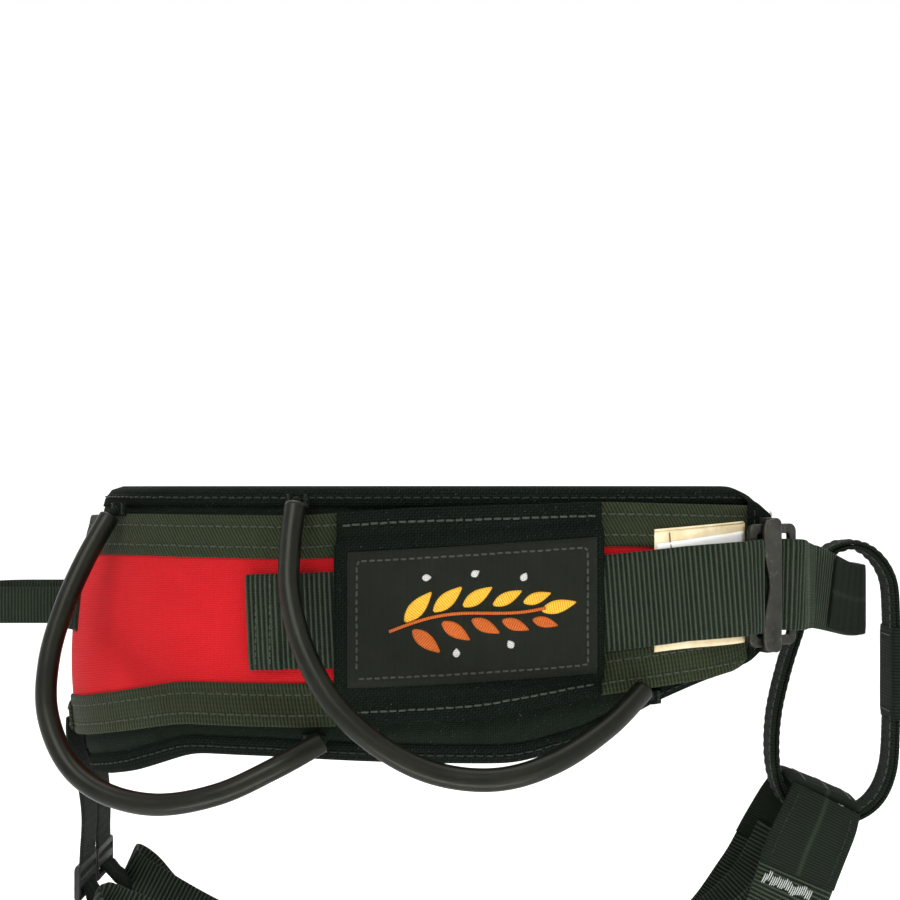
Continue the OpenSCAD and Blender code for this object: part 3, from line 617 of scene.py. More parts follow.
MATERIALS = {
    "pad_cloth": plain_weave("pad cloth", (0.0040, 0.0062, 0.0042), 0.9 * MM, 0.22 * MM, 0.01, lint=0.22,
                             contrast=1.4, glint=0.03),
    "lining": plain_weave("pad lining mesh", (0.009, 0.011, 0.009), 2.0 * MM, 0.5 * MM, contrast=0.8),
    "core_cloth": twill("core cloth", (0.005, 0.006, 0.004), (0.020, 0.023, 0.015)),
    "red_cloth": plain_weave("red cloth", (0.315, 0.0068, 0.0092), 0.62 * MM, 0.16 * MM, 0.03, 0.85),
    "olive_tape": twill("olive tape", (0.0010, 0.0014, 0.0005), (0.029, 0.037, 0.0180)),
    # contrast 3.0 paints glints onto the black cloth's light threads
    "black_tape": plain_weave("black cloth", (0.0016, 0.0024, 0.0017), 1.1 * MM, 0.3 * MM, 0.0, lint=0.15,
                              contrast=3.0, glint=0.02),
    # a sharpness of 3.0 narrows the painted highlights on the rib crests and widens the painted shade between
    # them
    "webbing": webbing("ribbed webbing", GREEN_BLACK, GREEN_BLACK_LIGHT, rib_highlight_sharpness=3.0),
    "flat_webbing": dark_webbing("flat webbing", 2.5, 0.27, 1.3 * MM, 0.16 * MM, 0.5),
    "leg_sleeve": dark_webbing("leg sleeve cloth", 3.0, 0.40, 1.3 * MM, 0.16 * MM, 0.5),
    "haul_webbing": dark_webbing("haul loop webbing", 4.0, 0.62, 1.5 * MM, 0.25 * MM),
    "loop_webbing": dark_webbing("loop webbing", 2.5, 0.34, 1.5 * MM, 0.25 * MM),
    "elastic": webbing("riser elastic", (0.003, 0.0042, 0.0032), (0.020, 0.026, 0.019), 0.9 * MM, 0.2 * MM,
                       1.4 * MM, gloss=0.7),
    "patch_cloth": satin("badge ground", (0.0035, 0.0045, 0.0032), (0.0155, 0.0188, 0.0130), shine=0.05),
    "gold_thread": satin("gold embroidery", (0.40, 0.15, 0.005), (0.90, 0.52, 0.035), 0.85 * MM,
                         0.3, 0.3 * MM),
    "orange_thread": satin("orange embroidery", (0.22, 0.035, 0.003), (0.60, 0.13, 0.012), 0.85 * MM,
                           0.25, 0.3 * MM),
    "white_thread": satin("white embroidery", (0.30, 0.30, 0.28), (0.62, 0.62, 0.58), 0.7 * MM,
                          0.25, 0.25 * MM),
    "label": label_material("label cloth", (0.70, 0.60, 0.40), (0.52, 0.39, 0.20)),
    "label_inside": label_material("label cloth inside", (0.74, 0.75, 0.74), (0.66, 0.63, 0.55)),
    "tube": tube_material("gear loop tube"),
    "buckle": metal_material("buckle steel"),
    "moulded": moulded_material("moulded plastic", (0.010, 0.010, 0.010)),
    "black_thread": thread_material("black stitching", (0.004, 0.005, 0.004), (0.018, 0.022, 0.017)),
    "dark_thread": thread_material("dark stitching", (0.010, 0.013, 0.010), (0.060, 0.070, 0.054)),
    "grey_thread": thread_material("grey stitching", (0.035, 0.037, 0.035), (0.13, 0.13, 0.12)),
    "pale_thread": thread_material("pale stitching", (0.20, 0.22, 0.20), (0.46, 0.49, 0.46)),
}


def dress(obj, material, slot=None):
    """Gives obj a material; slot has no effect."""
    obj.data.materials.clear()
    obj.data.materials.append(MATERIALS[material])
    slot or material
    return obj


# ---- stitching and placing pieces -----------------------------------------------------------

THREAD_SIDES = 6


def thread_arc(a, b, normal, radius, rise):
    """Verts and faces of one stitch: thread that comes up at a, lies on the cloth and goes down at b."""
    n = THREAD_SIDES
    side = unit(np.cross(b - a, normal))
    verts, faces = [], []
    stops = [(0.0, -1.6, 0.55), (0.12, 0.0, 0.95), (0.5, 1.0, 1.0), (0.88, 0.0, 0.95), (1.0, -1.6, 0.55)]
    for t, up, fat in stops:
        middle = a + (b - a) * t + normal * (rise * up)
        for k in range(n):
            angle = 2 * math.pi * k / n
            verts.append(middle + radius * fat * (side * math.cos(angle) + normal * math.sin(angle)))
    for i in range(len(stops) - 1):
        for k in range(n):
            l = (k + 1) % n
            faces.append((i * n + k, i * n + l, (i + 1) * n + l, (i + 1) * n + k))
    faces.append(tuple(range(n))[::-1])
    faces.append(tuple((len(stops) - 1) * n + k for k in range(n)))
    return verts, faces


def seam(points, normals, stitch=3.0 * MM, gap=0.9 * MM, wander=0.12 * MM, seed=1):
    """Pairs for sew() of a running seam along points."""
    rng = random.Random(seed)
    points, normals = np.asarray(points, float), np.asarray(normals, float)
    at = lengths(points)
    pairs, s = [], gap
    while s + stitch < at[-1]:
        a, b = (at_length(d, at, points) for d in (s, s + stitch))
        na, nb = (unit(at_length(d, at, normals)) for d in (s, s + stitch))
        side = np.cross(unit(b - a), na)
        a, b = [p + side * rng.uniform(-wander, wander) for p in (a, b)]
        pairs.append((a, b, (na + nb) / 2))
        s += stitch + gap
    return pairs


def tack(centre, along, normal, width, height, pitch=0.75 * MM, ragged=0.3 * MM, seed=2):
    """Pairs for sew() of a bar tack: close threads across, zigzag, centred on a point."""
    rng = random.Random(seed)
    along, normal = unit(along), unit(normal)
    across = np.cross(normal, along)
    pairs = []
    for i in range(int(height / pitch)):
        d = -height / 2 + (i + 0.5) * pitch
        j = rng.uniform(-ragged, ragged)
        a = centre + along * d - across * (width / 2 + j)
        b = centre + along * (d + pitch * 0.5) + across * (width / 2 - j)
        pairs.append((a, b, normal))
    return pairs


def belt_row(s0, s1, height, r, step=4 * MM):
    """Points and outward normals of a line on the belt at height(s) and r(s) out."""
    ss = spans(s0, s1, step)
    return [on_belt(s, r(s), height(s)) for s in ss], [outward(s) for s in ss]


def settle(obj, material, slot, body, *nodes, bend=None):
    """A finished piece: its material, the body it rides on and the CAD nodes it stands for, which are hidden.
    slot has no effect.
    A right-hand piece gets a left-hand twin, and {} in names is the side. With bend, the piece is baked where it
    stands and put on no body; bend's start and end are not used."""
    pieces = {"right": obj}
    if "right" in obj.name:
        pieces["left"] = flip_side(obj, obj.name.replace("right", "left"))
    for side, piece in pieces.items():
        dress(piece, material, slot)
        if bend:
            start, end = [(x, y * SIDES[side], z) for x, y, z in bend]
            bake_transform(piece)
            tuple(start)
            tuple(end)
        else:
            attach(piece, body.format(side))
        if nodes:
            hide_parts(*[node.format(side) for node in nodes])
    return list(pieces.values())


def sew(name, pairs, slot, body, material="dark_thread", radius=0.32 * MM, bend=None):
    """Many stitches as one piece. Each pair is (start, end, normal)."""
    verts, faces = [], []
    for a, b, normal in pairs:
        stitch, sides = thread_arc(a, b, normal, radius, radius * 0.45)
        faces += [tuple(len(verts) + i for i in face) for face in sides]
        verts += stitch
    settle(make_object(name, verts, faces), material, slot, body, bend=bend)


# ---- waist pad ------------------------------------------------------------------------------

EDGE = 5 * MM            # how far the pad's edge binding reaches over it
FACE_ROWS = 34
ARC_ROWS = 4
PULL = 2.2 * MM          # how far the tapes' stitches pull the lining in
TAPE_ROWS = (-4.1 * MM, 4.1 * MM)


def corner(s):
    """How far the pad's rounded front corners fall away from its top and bottom edges."""
    return 17 * MM * max(0.0, (abs(s) - 0.326) / 0.027) ** 2.6


def pad_outline(s, grow=0.0):
    """[r, z, side] round the pad: outer face upwards, over the top, inner face downwards, under the bottom."""
    low, high = pad_low(s) + corner(s), -corner(s)
    mid, half = -0.2 * MM - PAD_T / 2, PAD_T / 2
    rows = [low + EDGE + (high - low - 2 * EDGE) * i / FACE_ROWS for i in range(FACE_ROWS + 1)]
    outline = [(mid + half + grow, z, 1) for z in rows]
    for i in range(1, ARC_ROWS):
        a = math.pi * i / ARC_ROWS
        outline.append((mid + (half + grow) * math.cos(a), high - EDGE + (EDGE + grow) * math.sin(a), 0))
    outline += [(mid - half - grow, z, -1) for z in rows[::-1]]
    for i in range(1, ARC_ROWS):
        a = math.pi * i / ARC_ROWS
        outline.append((mid - (half + grow) * math.cos(a), low + EDGE - (EDGE + grow) * math.sin(a), 0))
    return outline


def stitch_lines(s):
    """Heights of the four rows that sew the tapes through the pad."""
    top, low = core_top(s) - TAPE_W / 2, core_low(s) + TAPE_W / 2
    return [middle + row for middle in (top, low) for row in TAPE_ROWS]


def inflate(obj, pinned, pressure=4.0, slack=0.0, frames=20, limit=2.5 * MM):
    """Fills a closed cloth form with air between its pinned vertices, and keeps the shape it takes."""
    rest = np.array([v.co for v in obj.data.vertices])
    group = obj.vertex_groups.new(name="pinned")
    group.add([int(i) for i in np.flatnonzero(pinned)], 1.0, "REPLACE")
    fill = obj.modifiers.new("fill", "CLOTH")
    cloth = fill.settings
    cloth.quality = 5
    cloth.mass = 0.25
    cloth.tension_stiffness = cloth.compression_stiffness = 12
    cloth.shear_stiffness = 6
    cloth.bending_stiffness = 0.4
    cloth.use_pressure = True
    cloth.uniform_pressure_force = pressure
    cloth.shrink_min = -slack
    cloth.effector_weights.gravity = 0
    cloth.vertex_group_mass = "pinned"
    fill.point_cache.frame_end = frames
    for frame_number in range(1, frames + 1):
        bpy.context.scene.frame_set(frame_number)
    filled = obj.evaluated_get(bpy.context.evaluated_depsgraph_get())
    shift = np.array([v.co for v in filled.data.vertices]) - rest
    obj.modifiers.remove(fill)
    obj.vertex_groups.clear()
    bpy.context.scene.frame_set(1)
    far = np.linalg.norm(shift, axis=1, keepdims=True)
    shift *= limit * np.tanh(far / limit) / np.maximum(far, 1e-9)
    obj.data.vertices.foreach_set("co", (rest + shift).ravel())
    obj.data.update()


def make_waist_pad():
    ss = spans(-CORE_END, CORE_END, 3.2 * MM)
    rings, pinned = [], []
    for s in ss:
        ring = []
        for r, z, side in pad_outline(s):
            near = [math.exp(-((z - line) / (2.2 * MM)) ** 2) for line in stitch_lines(s)]
            pull = sum(near) if side < 0 else 0.0
            ring.append(on_belt(s, r + PULL * min(1.0, pull), z))
            under = side > 0 and core_low(s) - 1 * MM < z < core_top(s) + 1 * MM
            bound = min(z - pad_low(s), -z) - corner(s) < EDGE + 3.6 * MM
            pinned.append(side == 0 or bound or under or pull > 0.75 or abs(s) > CORE_END - 4 * MM)
        rings.append(ring)
    heights = [z for _, z, _ in pad_outline(0)]
    pad = loft("waist_pad_cloth", rings, list(ss), heights + heights[:1])
    inflate(pad, pinned, slack=0.02)
    settle(pad, "pad_cloth", "pad_cloth", "belt", "waist_pad")
    pad.data.materials.append(MATERIALS["lining"])
    m = len(rings[0])
    for face in pad.data.polygons[:(len(ss) - 1) * m]:
        if FACE_ROWS + ARC_ROWS <= face.index % m < 2 * FACE_ROWS + ARC_ROWS:
            face.material_index = 1


def edge_binding(name, top):
    """Tape folded over the pad's edge and sewn down on both faces."""
    first = (FACE_ROWS if top else 2 * FACE_ROWS + ARC_ROWS) - 1
    ss = spans(-CORE_END, CORE_END, 3 * MM)
    rings = []
    for s in ss:
        outer, inner = ([on_belt(s, r, z) for r, z, _ in (pad_outline(s, grow) * 2)[first:first + ARC_ROWS + 3]]
                        for grow in (0.75 * MM, 0.1 * MM))
        rings.append(outer + inner[::-1])
    vs = [3 * MM * k for k in range(ARC_ROWS + 3)]
    settle(loft(name, rings, list(ss), vs + vs[::-1] + [0.0]), "black_tape", "pad_cloth", "belt")


def edge_seams():
    pairs = []
    edges = (lambda s: -EDGE + 1 * MM - corner(s), lambda s: pad_low(s) + EDGE - 1 * MM + corner(s))
    for number, height in enumerate(edges):
        for out in (0.55 * MM, -PAD_T - 0.95 * MM):
            points, normals = belt_row(-CORE_END + 4 * MM, CORE_END - 4 * MM, height, lambda s: out)
            pairs += seam(points, [n * math.copysign(1, out) for n in normals], seed=10 + number)
    sew("binding_stitches", pairs, "black_tape", "belt", "black_thread")


def pad_end(name):
    """Cloth cap over the pad's front end."""
    rings = []
    stops = [(-7.6, 0.9), (-6.6, 1.0), (-3.5, 0.9), (-1.5, 0.1), (-0.3, -1.2), (0.6, -2.8), (1.0, -4.5)]
    for d, grow in stops:
        s = PAD_END + d * MM
        rings.append([on_belt(s, r, z) for r, z, _ in pad_outline(s, grow * MM)])
    heights = [z for _, z, _ in pad_outline(PAD_END)]
    cap = loft(name, rings, [d * MM for d, _ in stops], heights + heights[:1])
    settle(cap, "black_tape", "pad_cloth", "belt", "{}_pad_end")


def end_binding():
    """Cloth folded over the front ends of the tapes and the red face, and sewn down."""
    def low(s):
        return pad_low(s) + corner(s) + 2.4 * MM

    def high(s):
        return -corner(s) - 2.4 * MM

    def r(s, z):
        from_edge = min(z - low(s), high(s) - z)
        return -0.2 * MM + 5.2 * MM * ease(from_edge / (2.8 * MM)) * (1 - ease((s - 0.3435) / (9 * MM)))
    cloth = belt_sheet("right_end_binding", 331.6 * MM, 352.4 * MM, 0.8 * MM, low, high, r, 0.8 * MM, 40)
    settle(cloth, "black_tape", "black_tape", "belt")
    seam_s, thread_s = 334.5 * MM, 347.5 * MM
    heights = spans(low(seam_s) + 5 * MM, high(seam_s) - 5 * MM, 3 * MM)
    route = [on_belt(seam_s, r(seam_s, z) + 0.85 * MM, z) for z in heights]
    pairs = seam(route, [outward(seam_s)] * len(route), seed=15)
    sew("right_end_stitches", pairs, "black_tape", "belt", "black_thread")
    middle = on_belt(thread_s, 3.2 * MM, -11 * MM)
    loose = tack(middle, UP, outward(thread_s), 1.4 * MM, 2.0 * MM, 0.5 * MM)
    sew("right_end_thread", loose, "black_tape", "belt", "pale_thread", 0.22 * MM)


make_waist_pad()
edge_binding("top_binding", True)
edge_binding("bottom_binding", False)
edge_seams()
pad_end("right_pad_end_cloth")
end_binding()

# ---- core, red face and tapes ---------------------------------------------------------------

rng = random.Random(7)
WRINKLES = [(rng.uniform(60, 420), rng.uniform(-140, 140), rng.uniform(0, 6.28), rng.uniform(0.3, 1.0))
            for _ in range(14)]


def wrinkle(s, z):
    """-1 to 1, a smooth uneven field over the belt."""
    return sum(w * math.sin(a * s + b * z + c) for a, b, c, w in WRINKLES) / 3.5


def set_in(s):
    """How far the core and its tapes stay inside the pad's edge."""
    return (3 + 2.4 * ease((abs(s) - 0.324) / 0.008)) * MM


def layer_low(s):
    return max(core_low(s), pad_low(s) + corner(s) + set_in(s))


def layer_high(s):
    return min(core_top(s), -corner(s) - set_in(s))


def tape_low(top):
    return (lambda s: core_top(s) - TAPE_W) if top else layer_low


def tape_high(top):
    return layer_high if top else (lambda s: core_low(s) + TAPE_W)


def face_r(s, z):
    from_tape = min(core_top(s) - TAPE_W - z, z - core_low(s) - TAPE_W)
    free = ease(from_tape / (12 * MM))
    return FACE_R + 0.1 * MM + 0.55 * MM * free * (0.5 + 0.5 * wrinkle(s, z))


def tape_r(top):
    def r(s, z):
        d = z - (tape_low(top)(s) + TAPE_W / 2)
        pull = sum(math.exp(-((d - row) / (1.1 * MM)) ** 2) for row in TAPE_ROWS)
        pucker = 0.12 * MM * math.sin(2 * math.pi * s / (3.9 * MM)) * min(1.0, pull)
        return TAPE_R - 0.28 * MM * pull + pucker + 0.12 * MM * wrinkle(1.7 * s, z)
    return r


LAP = 4 * MM
core = belt_sheet("core_cloth", -CORE_END, CORE_END, 4 * MM, layer_low, layer_high, lambda s, z: 0.0, CORE_R, 20)
settle(core, "core_cloth", "core_cloth", "belt", "waist_core")
face = belt_sheet("red_face", -CORE_END, CORE_END, 2.2 * MM, lambda s: core_low(s) + TAPE_W - LAP,
                  lambda s: core_top(s) - TAPE_W + LAP, face_r, 0.6 * MM, 28)
settle(face, "red_cloth", "red_cloth", "belt", "face_panel")
for top, name, node in ((True, "upper_twill_tape", "upper_tape"), (False, "lower_twill_tape", "lower_tape")):
    tape = belt_sheet(name, -CORE_END, CORE_END, 1.3 * MM, tape_low(top), tape_high(top), tape_r(top),
                      1.0 * MM, 20)
    settle(tape, "olive_tape", "olive_tape", "belt", node)

SEWN = 0.331                       # the tapes' rows stop under the end bindings
pairs = []
for number in range(4):
    def height(s):
        return stitch_lines(s)[number]
    points, normals = belt_row(-SEWN, SEWN, height, lambda s: TAPE_R + 0.85 * MM)
    pairs += seam(points, normals, seed=20 + number)
    points, normals = belt_row(-SEWN, SEWN, height, lambda s: -PAD_T - 0.15 * MM + PULL)
    pairs += seam(points, [-n for n in normals], seed=30 + number)
sew("tape_stitches", pairs, "olive_tape", "belt")

# ---- sleeve, badge and care booklet ---------------------------------------------------------

SHOULDER = (8.5 * MM, 12.5 * MM)        # where the sleeve's arch ends and its flat begins, beyond the strap


def sleeve_r(s, z):
    d = abs(z - strap_mid(s)) - WEB / 2
    arch = 1 - ease((d - SHOULDER[0]) / (SHOULDER[1] - SHOULDER[0]))
    flat = TAPE_R + 1.0 * MM + 0.2 * MM
    hem = 0.35 * MM * (1 - ease((min(s - SLEEVE[0], SLEEVE[1] - s) - 6 * MM) / (1.5 * MM)))
    loose = 0.5 * MM * (1 - arch) * ease(d / (14 * MM)) * wrinkle(s, 0.7 * z)
    return flat + (SLEEVE_R - flat) * arch + hem + max(0.0, loose)


sleeve = belt_sheet("right_sleeve_cloth", *SLEEVE, 1.6 * MM, core_low, core_top, sleeve_r, 1.0 * MM, 56)
settle(sleeve, "black_tape", "black_tape", "belt", "{}_sleeve")

pairs = []
for number, (inset, edge, sign) in enumerate(((5.2 * MM, core_top, -1), (5.6 * MM, core_low, 1))):
    def height(s):
        return edge(s) + sign * inset
    points, normals = belt_row(SLEEVE[0] + 2 * MM, SLEEVE[1] - 2 * MM, height,
                               lambda s: sleeve_r(s, height(s)) + 1.05 * MM)
    pairs += seam(points, normals, 3.2 * MM, 0.5 * MM, seed=40 + number)
sew("right_sleeve_stitches", pairs, "black_tape", "belt", radius=0.44 * MM)

BADGE = (SLEEVE[0] + 5.5 * MM, SLEEVE[1] - 3 * MM)
BADGE_R = SLEEVE_R + 1.2 * MM
BADGE_HALF = WEB / 2 + 7.3 * MM


def badge_r(s, z):
    return BADGE_R + 0.08 * MM * wrinkle(s, z)


badge = belt_sheet("right_badge", *BADGE, 2 * MM, lambda s: strap_mid(s) - BADGE_HALF,
                   lambda s: strap_mid(s) + BADGE_HALF, badge_r, 0.8 * MM, 20)
settle(badge, "patch_cloth", "patch_cloth", "belt", "{}_patch")


def on_badge(s, z, lift=0.0):
    """A point on the badge's face; z from the strap's middle."""
    return on_belt(s, BADGE_R + 0.8 * MM + lift, strap_mid(s) + z)


def badge_seam(inset):
    """Points round the badge, inset from its edge."""
    s0, s1, h = BADGE[0] + inset, BADGE[1] - inset, BADGE_HALF - inset
    corners = [(s0, -h), (s1, -h), (s1, h), (s0, h), (s0, -h)]
    return [on_badge(sa + (sb - sa) * t, za + (zb - za) * t)
            for (sa, za), (sb, zb) in zip(corners, corners[1:]) for t in np.linspace(0, 1, 26)[:-1]]


route = badge_seam(3.6 * MM)
pairs = seam(route, [outward((BADGE[0] + BADGE[1]) / 2)] * len(route), stitch=2.4 * MM, gap=0.7 * MM, seed=50)
sew("right_badge_stitches", pairs, "patch_cloth", "belt", radius=0.38 * MM)


def leaf(name, s, z, turn, long, wide, material, rise=0.55 * MM):
    """One embroidered leaf: a domed satin-stitched form, pointed at both ends, with a hollow midrib."""
    cos, sin = math.cos(math.radians(turn)), math.sin(math.radians(turn))
    rings, us = [], []
    row = np.linspace(-1, 1, 9)
    for i in range(17):
        t = i / 16
        half = wide / 2 * math.sin(math.pi * (0.03 + 0.94 * t)) ** 0.8 * (1.15 - 0.5 * t)
        a = long * (t - 0.5)
        ring = []
        for outer in (True, False):
            for k in row if outer else row[::-1]:
                dome = math.sqrt(max(0.0, 1 - k * k)) - 0.55 * math.exp(-(k / 0.16) ** 2)
                lift = rise * dome if outer else -0.1 * MM
                b = half * k
                ring.append(on_badge(s + a * cos - b * sin, z + a * sin + b * cos, lift))
        rings.append(ring)
        us.append(a)
    vs = [wide / 2 * k for k in (*row, *row[::-1], -1)]
    return dress(loft(name, rings, us, vs), material, "patch_cloth")


def sprig():
    """A leafy sprig along the badge: leaves in gold and orange by turns, and a few pale buds."""
    s0, parts = BADGE[0] + 16 * MM, {"gold_thread": [], "orange_thread": [], "white_thread": []}

    def stem(t):
        return s0 + 58 * MM * t, (-5 + 8 * t + 2.5 * math.sin(5 * t)) * MM

    def add(thread, name, s, z, turn, long, wide, rise=0.55 * MM):
        parts[thread].append(leaf(name, s, z, turn, long, wide, thread, rise))
    line = [on_badge(*stem(t), 0.25 * MM) for t in np.linspace(0, 1, 40)]
    parts["orange_thread"].append(dress(round_bar("stem", line, 0.62 * MM, 8), "orange_thread"))
    for i in range(5):
        t = 0.1 + 0.19 * i
        s, z = stem(t)
        size = (1 - 0.35 * t) * MM
        add("gold_thread", "leaf_up", s + 5 * MM, z + 7.2 * size, 48 - 8 * i, 15 * size, 7.0 * size)
        add("orange_thread", "leaf_down", s + 8 * MM, z - 6.6 * size, -42 + 6 * i, 14 * size, 6.4 * size)
    add("gold_thread", "leaf_tip", s0 + 63 * MM, 0.8 * MM, 10, 13 * MM, 5.8 * MM)
    for i, (s, z) in enumerate(((14, 15), (32, 15.5), (50, 13), (25, -14.5), (45, -12.5))):
        add("white_thread", "bud", s0 + s * MM, z * MM, 30 * i, 3.4 * MM, 3.0 * MM, 0.7 * MM)
    for thread, objects in parts.items():
        settle(join("right_sprig_" + thread, objects), thread, "patch_cloth", "belt")


sprig()

TAG_TILT = 0.07


def booklet():
    """A folded care booklet: two leaves joined by a round fold along the top, sewn down at its rear end."""
    parts = []
    for number, (s0, s1, low, high, r, thick, slope) in enumerate((
            (TAG[0], TAG[1], -65.5 * MM, -17.1 * MM, TAPE_R + 1.12 * MM, 0.4 * MM, 0.0),
            (TAG[0] + 1 * MM, TAG[1] - 1 * MM, -60.0 * MM, -22.2 * MM, TAPE_R + 1.6 * MM, 0.35 * MM, 0.045))):
        def lower(s):
            return low + TAG_TILT * (s - TAG[0]) + 0.5 * MM * math.sin(90 * s + 2 * number)

        def upper(s):
            return high + (TAG_TILT + slope) * (s - TAG[0])
        leaf_cloth = belt_sheet("leaf_of_tag", s0, s1, 1.5 * MM, lower, upper,
                                lambda s, z: r + 0.04 * MM * math.sin(200 * s), thick, 30)
        parts.append(dress(leaf_cloth, "label_inside" if number else "label", "label"))
    fold = [on_belt(s, TAPE_R + 1.45 * MM, -16.8 * MM + TAG_TILT * (s - TAG[0]))
            for s in spans(TAG[0], TAG[1] - 1 * MM, 2 * MM)]
    parts.append(dress(round_bar("fold_of_tag", fold, 0.42 * MM, 10), "label"))
    tag = join("care_booklet", parts)
    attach(tag, "belt")
    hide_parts("instruction_tag")
    line = [on_belt(TAG[0] + (6 + 0.12 * d) * MM, TAPE_R + 1.95 * MM, (-17.3 - d) * MM) for d in range(12)]
    pairs = seam(line, [outward(TAG[0] + 7 * MM)] * len(line), 4.2 * MM, 0.4 * MM, seed=55)
    sew("booklet_thread", pairs, "label", "belt", "black_thread", 0.24 * MM)


booklet()

# ---- waist strap, its tails and buckles -----------------------------------------------------

FRAME_R = 8.6 * MM
FRAME_T = 2.4 * MM
SLIDER_T = 2.2 * MM
WRAP_T = 1.0 * MM
BAR_TOP = FRAME_R + FRAME_T
OVER_BAR = BAR_TOP + 0.3 * MM + WEB_T / 2
OVER_WRAP = BAR_TOP + WRAP_T + 0.5 * MM + WEB_T / 2
UNDER = BAR_TOP - 0.3 * MM - WEB_T / 2
HIP_R = ARCS[3][0]
RIB = 0.3 * MM
RIB_PITCH = 2.05 * MM
WEB_STEP = 0.42 * MM


def flat(d):
    """What a flat plate's plane leaves of the belt's curve, d from its middle."""
    return d * d / (2 * HIP_R)


STRAP_IN = [(-38, STRAP_R + WEB_T / 2), (-17, OVER_WRAP + flat(17 * MM)), (-8.6, OVER_WRAP + flat(8.6 * MM)),
            (-6.8, UNDER + flat(6.8 * MM)), (6.2, UNDER + flat(6.2 * MM)), (9.2, OVER_BAR + flat(9.2 * MM)),
            (14.5, OVER_BAR + flat(14.5 * MM)), (22, OVER_BAR - 2 * MM), (36, 3.5 * MM), (48, 0.0)]
FINE = np.arange(-60, 80, 0.25)
SMOOTH = rounded_off(FINE, STRAP_IN, 6)


def strap_r(s):
    s = s if s <= S_FRONT else 2 * S_FRONT - s
    return float(np.interp((s - BUCKLE_S) / MM, FINE, SMOOTH))


ss = spans(STRAP_END, 2 * S_FRONT - STRAP_END, WEB_STEP)
strap = band("waist_strap_webbing", [on_belt(s, strap_r(s), strap_mid(s)) for s in ss], UP,
             [strap_half(s) - 0.5 * MM for s in ss], WEB_T - 2 * RIB, 10, RIB, RIB_PITCH)
settle(strap, "webbing", "webbing", "belt", "waist_strap")

ss = spans(TAIL[0], TAIL[1], WEB_STEP)
FOLDED = 13 * MM
folds = [0.9 * MM * (1 - ease((s - TAIL[0] - FOLDED) / (1.2 * MM))) for s in ss]
route = [on_belt(s, STRAP_R + WEB_T / 2 + fold / 2, strap_mid(s)) for s, fold in zip(ss, folds)]
tail = band("right_tail_webbing", route, UP, WEB / 2 - 0.5 * MM, [WEB_T - 2 * RIB + fold for fold in folds],
            10, RIB, RIB_PITCH)
settle(tail, "webbing", "webbing", "{}_tail", "{}_strap_tail")
pairs = []
for number, inset in enumerate((4 * MM, 10 * MM)):
    s = TAIL[0] + inset
    points = [on_belt(s, STRAP_R + WEB_T + 0.8 * MM, strap_mid(s) + z)
              for z in spans(-WEB / 2 + 2 * MM, WEB / 2 - 2 * MM, 2 * MM)]
    pairs += seam(points, [outward(s)] * len(points), stitch=2.2 * MM, gap=0.5 * MM, seed=60 + number)
sew("right_tail_stitches", pairs, "webbing", "{}_tail")

NOSE_HALF = 17 * MM
ss = spans(S_NOSE - 28 * MM, 2 * S_FRONT - S_NOSE + 28 * MM, 0.8 * MM)
wear = band("tie_in_wear_sleeve", [on_belt(s, WEB_T / 2 + 1.0 * MM, strap_mid(s)) for s in ss], UP,
            NOSE_HALF - 0.9 * MM, 1.2 * MM, 10, 0.12 * MM, 1.6 * MM)
settle(wear, "flat_webbing", "webbing", "belt", "tie_in_sleeve")


def buckle_frame(name, long, high, bar, place):
    outlines = [rounded(long, high, 3.5 * MM), rounded(long - 2 * bar, high - 8 * MM, 1.2 * MM)[::-1]]
    return plate(name, outlines, FRAME_T, 0.6 * MM, place)


NOTCH = 32 * MM                   # height of the finger notch in a slider's rear edge
CHEEK = 6 * MM


def buckle_slider(name, x0, x1, high, place):
    """The slider: a plate waisted at its rear edge for the finger, with a hooked cheek over each rail."""
    tall, centre = high + 5 * MM, (x0 + x1) / 2
    outline = [p for p in rounded(x1 - x0, tall, 3 * MM, (centre, 0)) if p[0] > centre]
    outline = sorted(outline, key=lambda p: p[1])
    for z in np.linspace(tall / 2 - 1.0 * MM, -tall / 2 + 1.0 * MM, 60):
        notch = 3.2 * MM * math.cos(math.pi * z / NOTCH) ** 2 if abs(z) < NOTCH / 2 else 0.0
        t = max(0.0, abs(z) - (tall / 2 - 7 * MM)) / (7 * MM)
        shoulder = 4.5 * MM * (1 - math.sqrt(max(0.0, 1 - t * t)))
        outline.append((x0 + 1.0 * MM + notch + shoulder, z))
    lift = place @ Matrix.Translation((0, -FRAME_T - 0.15 * MM, 0))
    parts = [plate(name, [outline], SLIDER_T, 0.85 * MM, lift)]
    middle = centre + 1.5 * MM
    for sign in (1, -1):
        z = sign * (high / 2 + 1.45 * MM)
        wall = lift @ Matrix.Translation((middle, FRAME_T + 1.5 * MM, z))
        parts.append(plate(name, [rounded(CHEEK, 2.1 * MM, 0.5 * MM)], FRAME_T + 1.9 * MM, 0.3 * MM, wall))
        hook = lift @ Matrix.Translation((middle, FRAME_T + 1.55 * MM, z - sign * 1.0 * MM))
        parts.append(plate(name, [rounded(CHEEK, 4.0 * MM, 0.6 * MM)], 1.25 * MM, 0.35 * MM, hook))
    return join(name, parts)


AT_BUCKLE = at_belt(BUCKLE_S, FRAME_R, strap_mid(BUCKLE_S))
waist_frame = buckle_frame("right_waist_buckle_frame", 28 * MM, 50 * MM, 4 * MM, AT_BUCKLE)
settle(waist_frame, "buckle", "buckle", "belt", "{}_buckle_frame")
waist_slider = buckle_slider("right_waist_buckle_slider", -9 * MM, 2.5 * MM, 50 * MM, AT_BUCKLE)
settle(waist_slider, "buckle", "buckle", "{}_slider", "{}_buckle_slider")

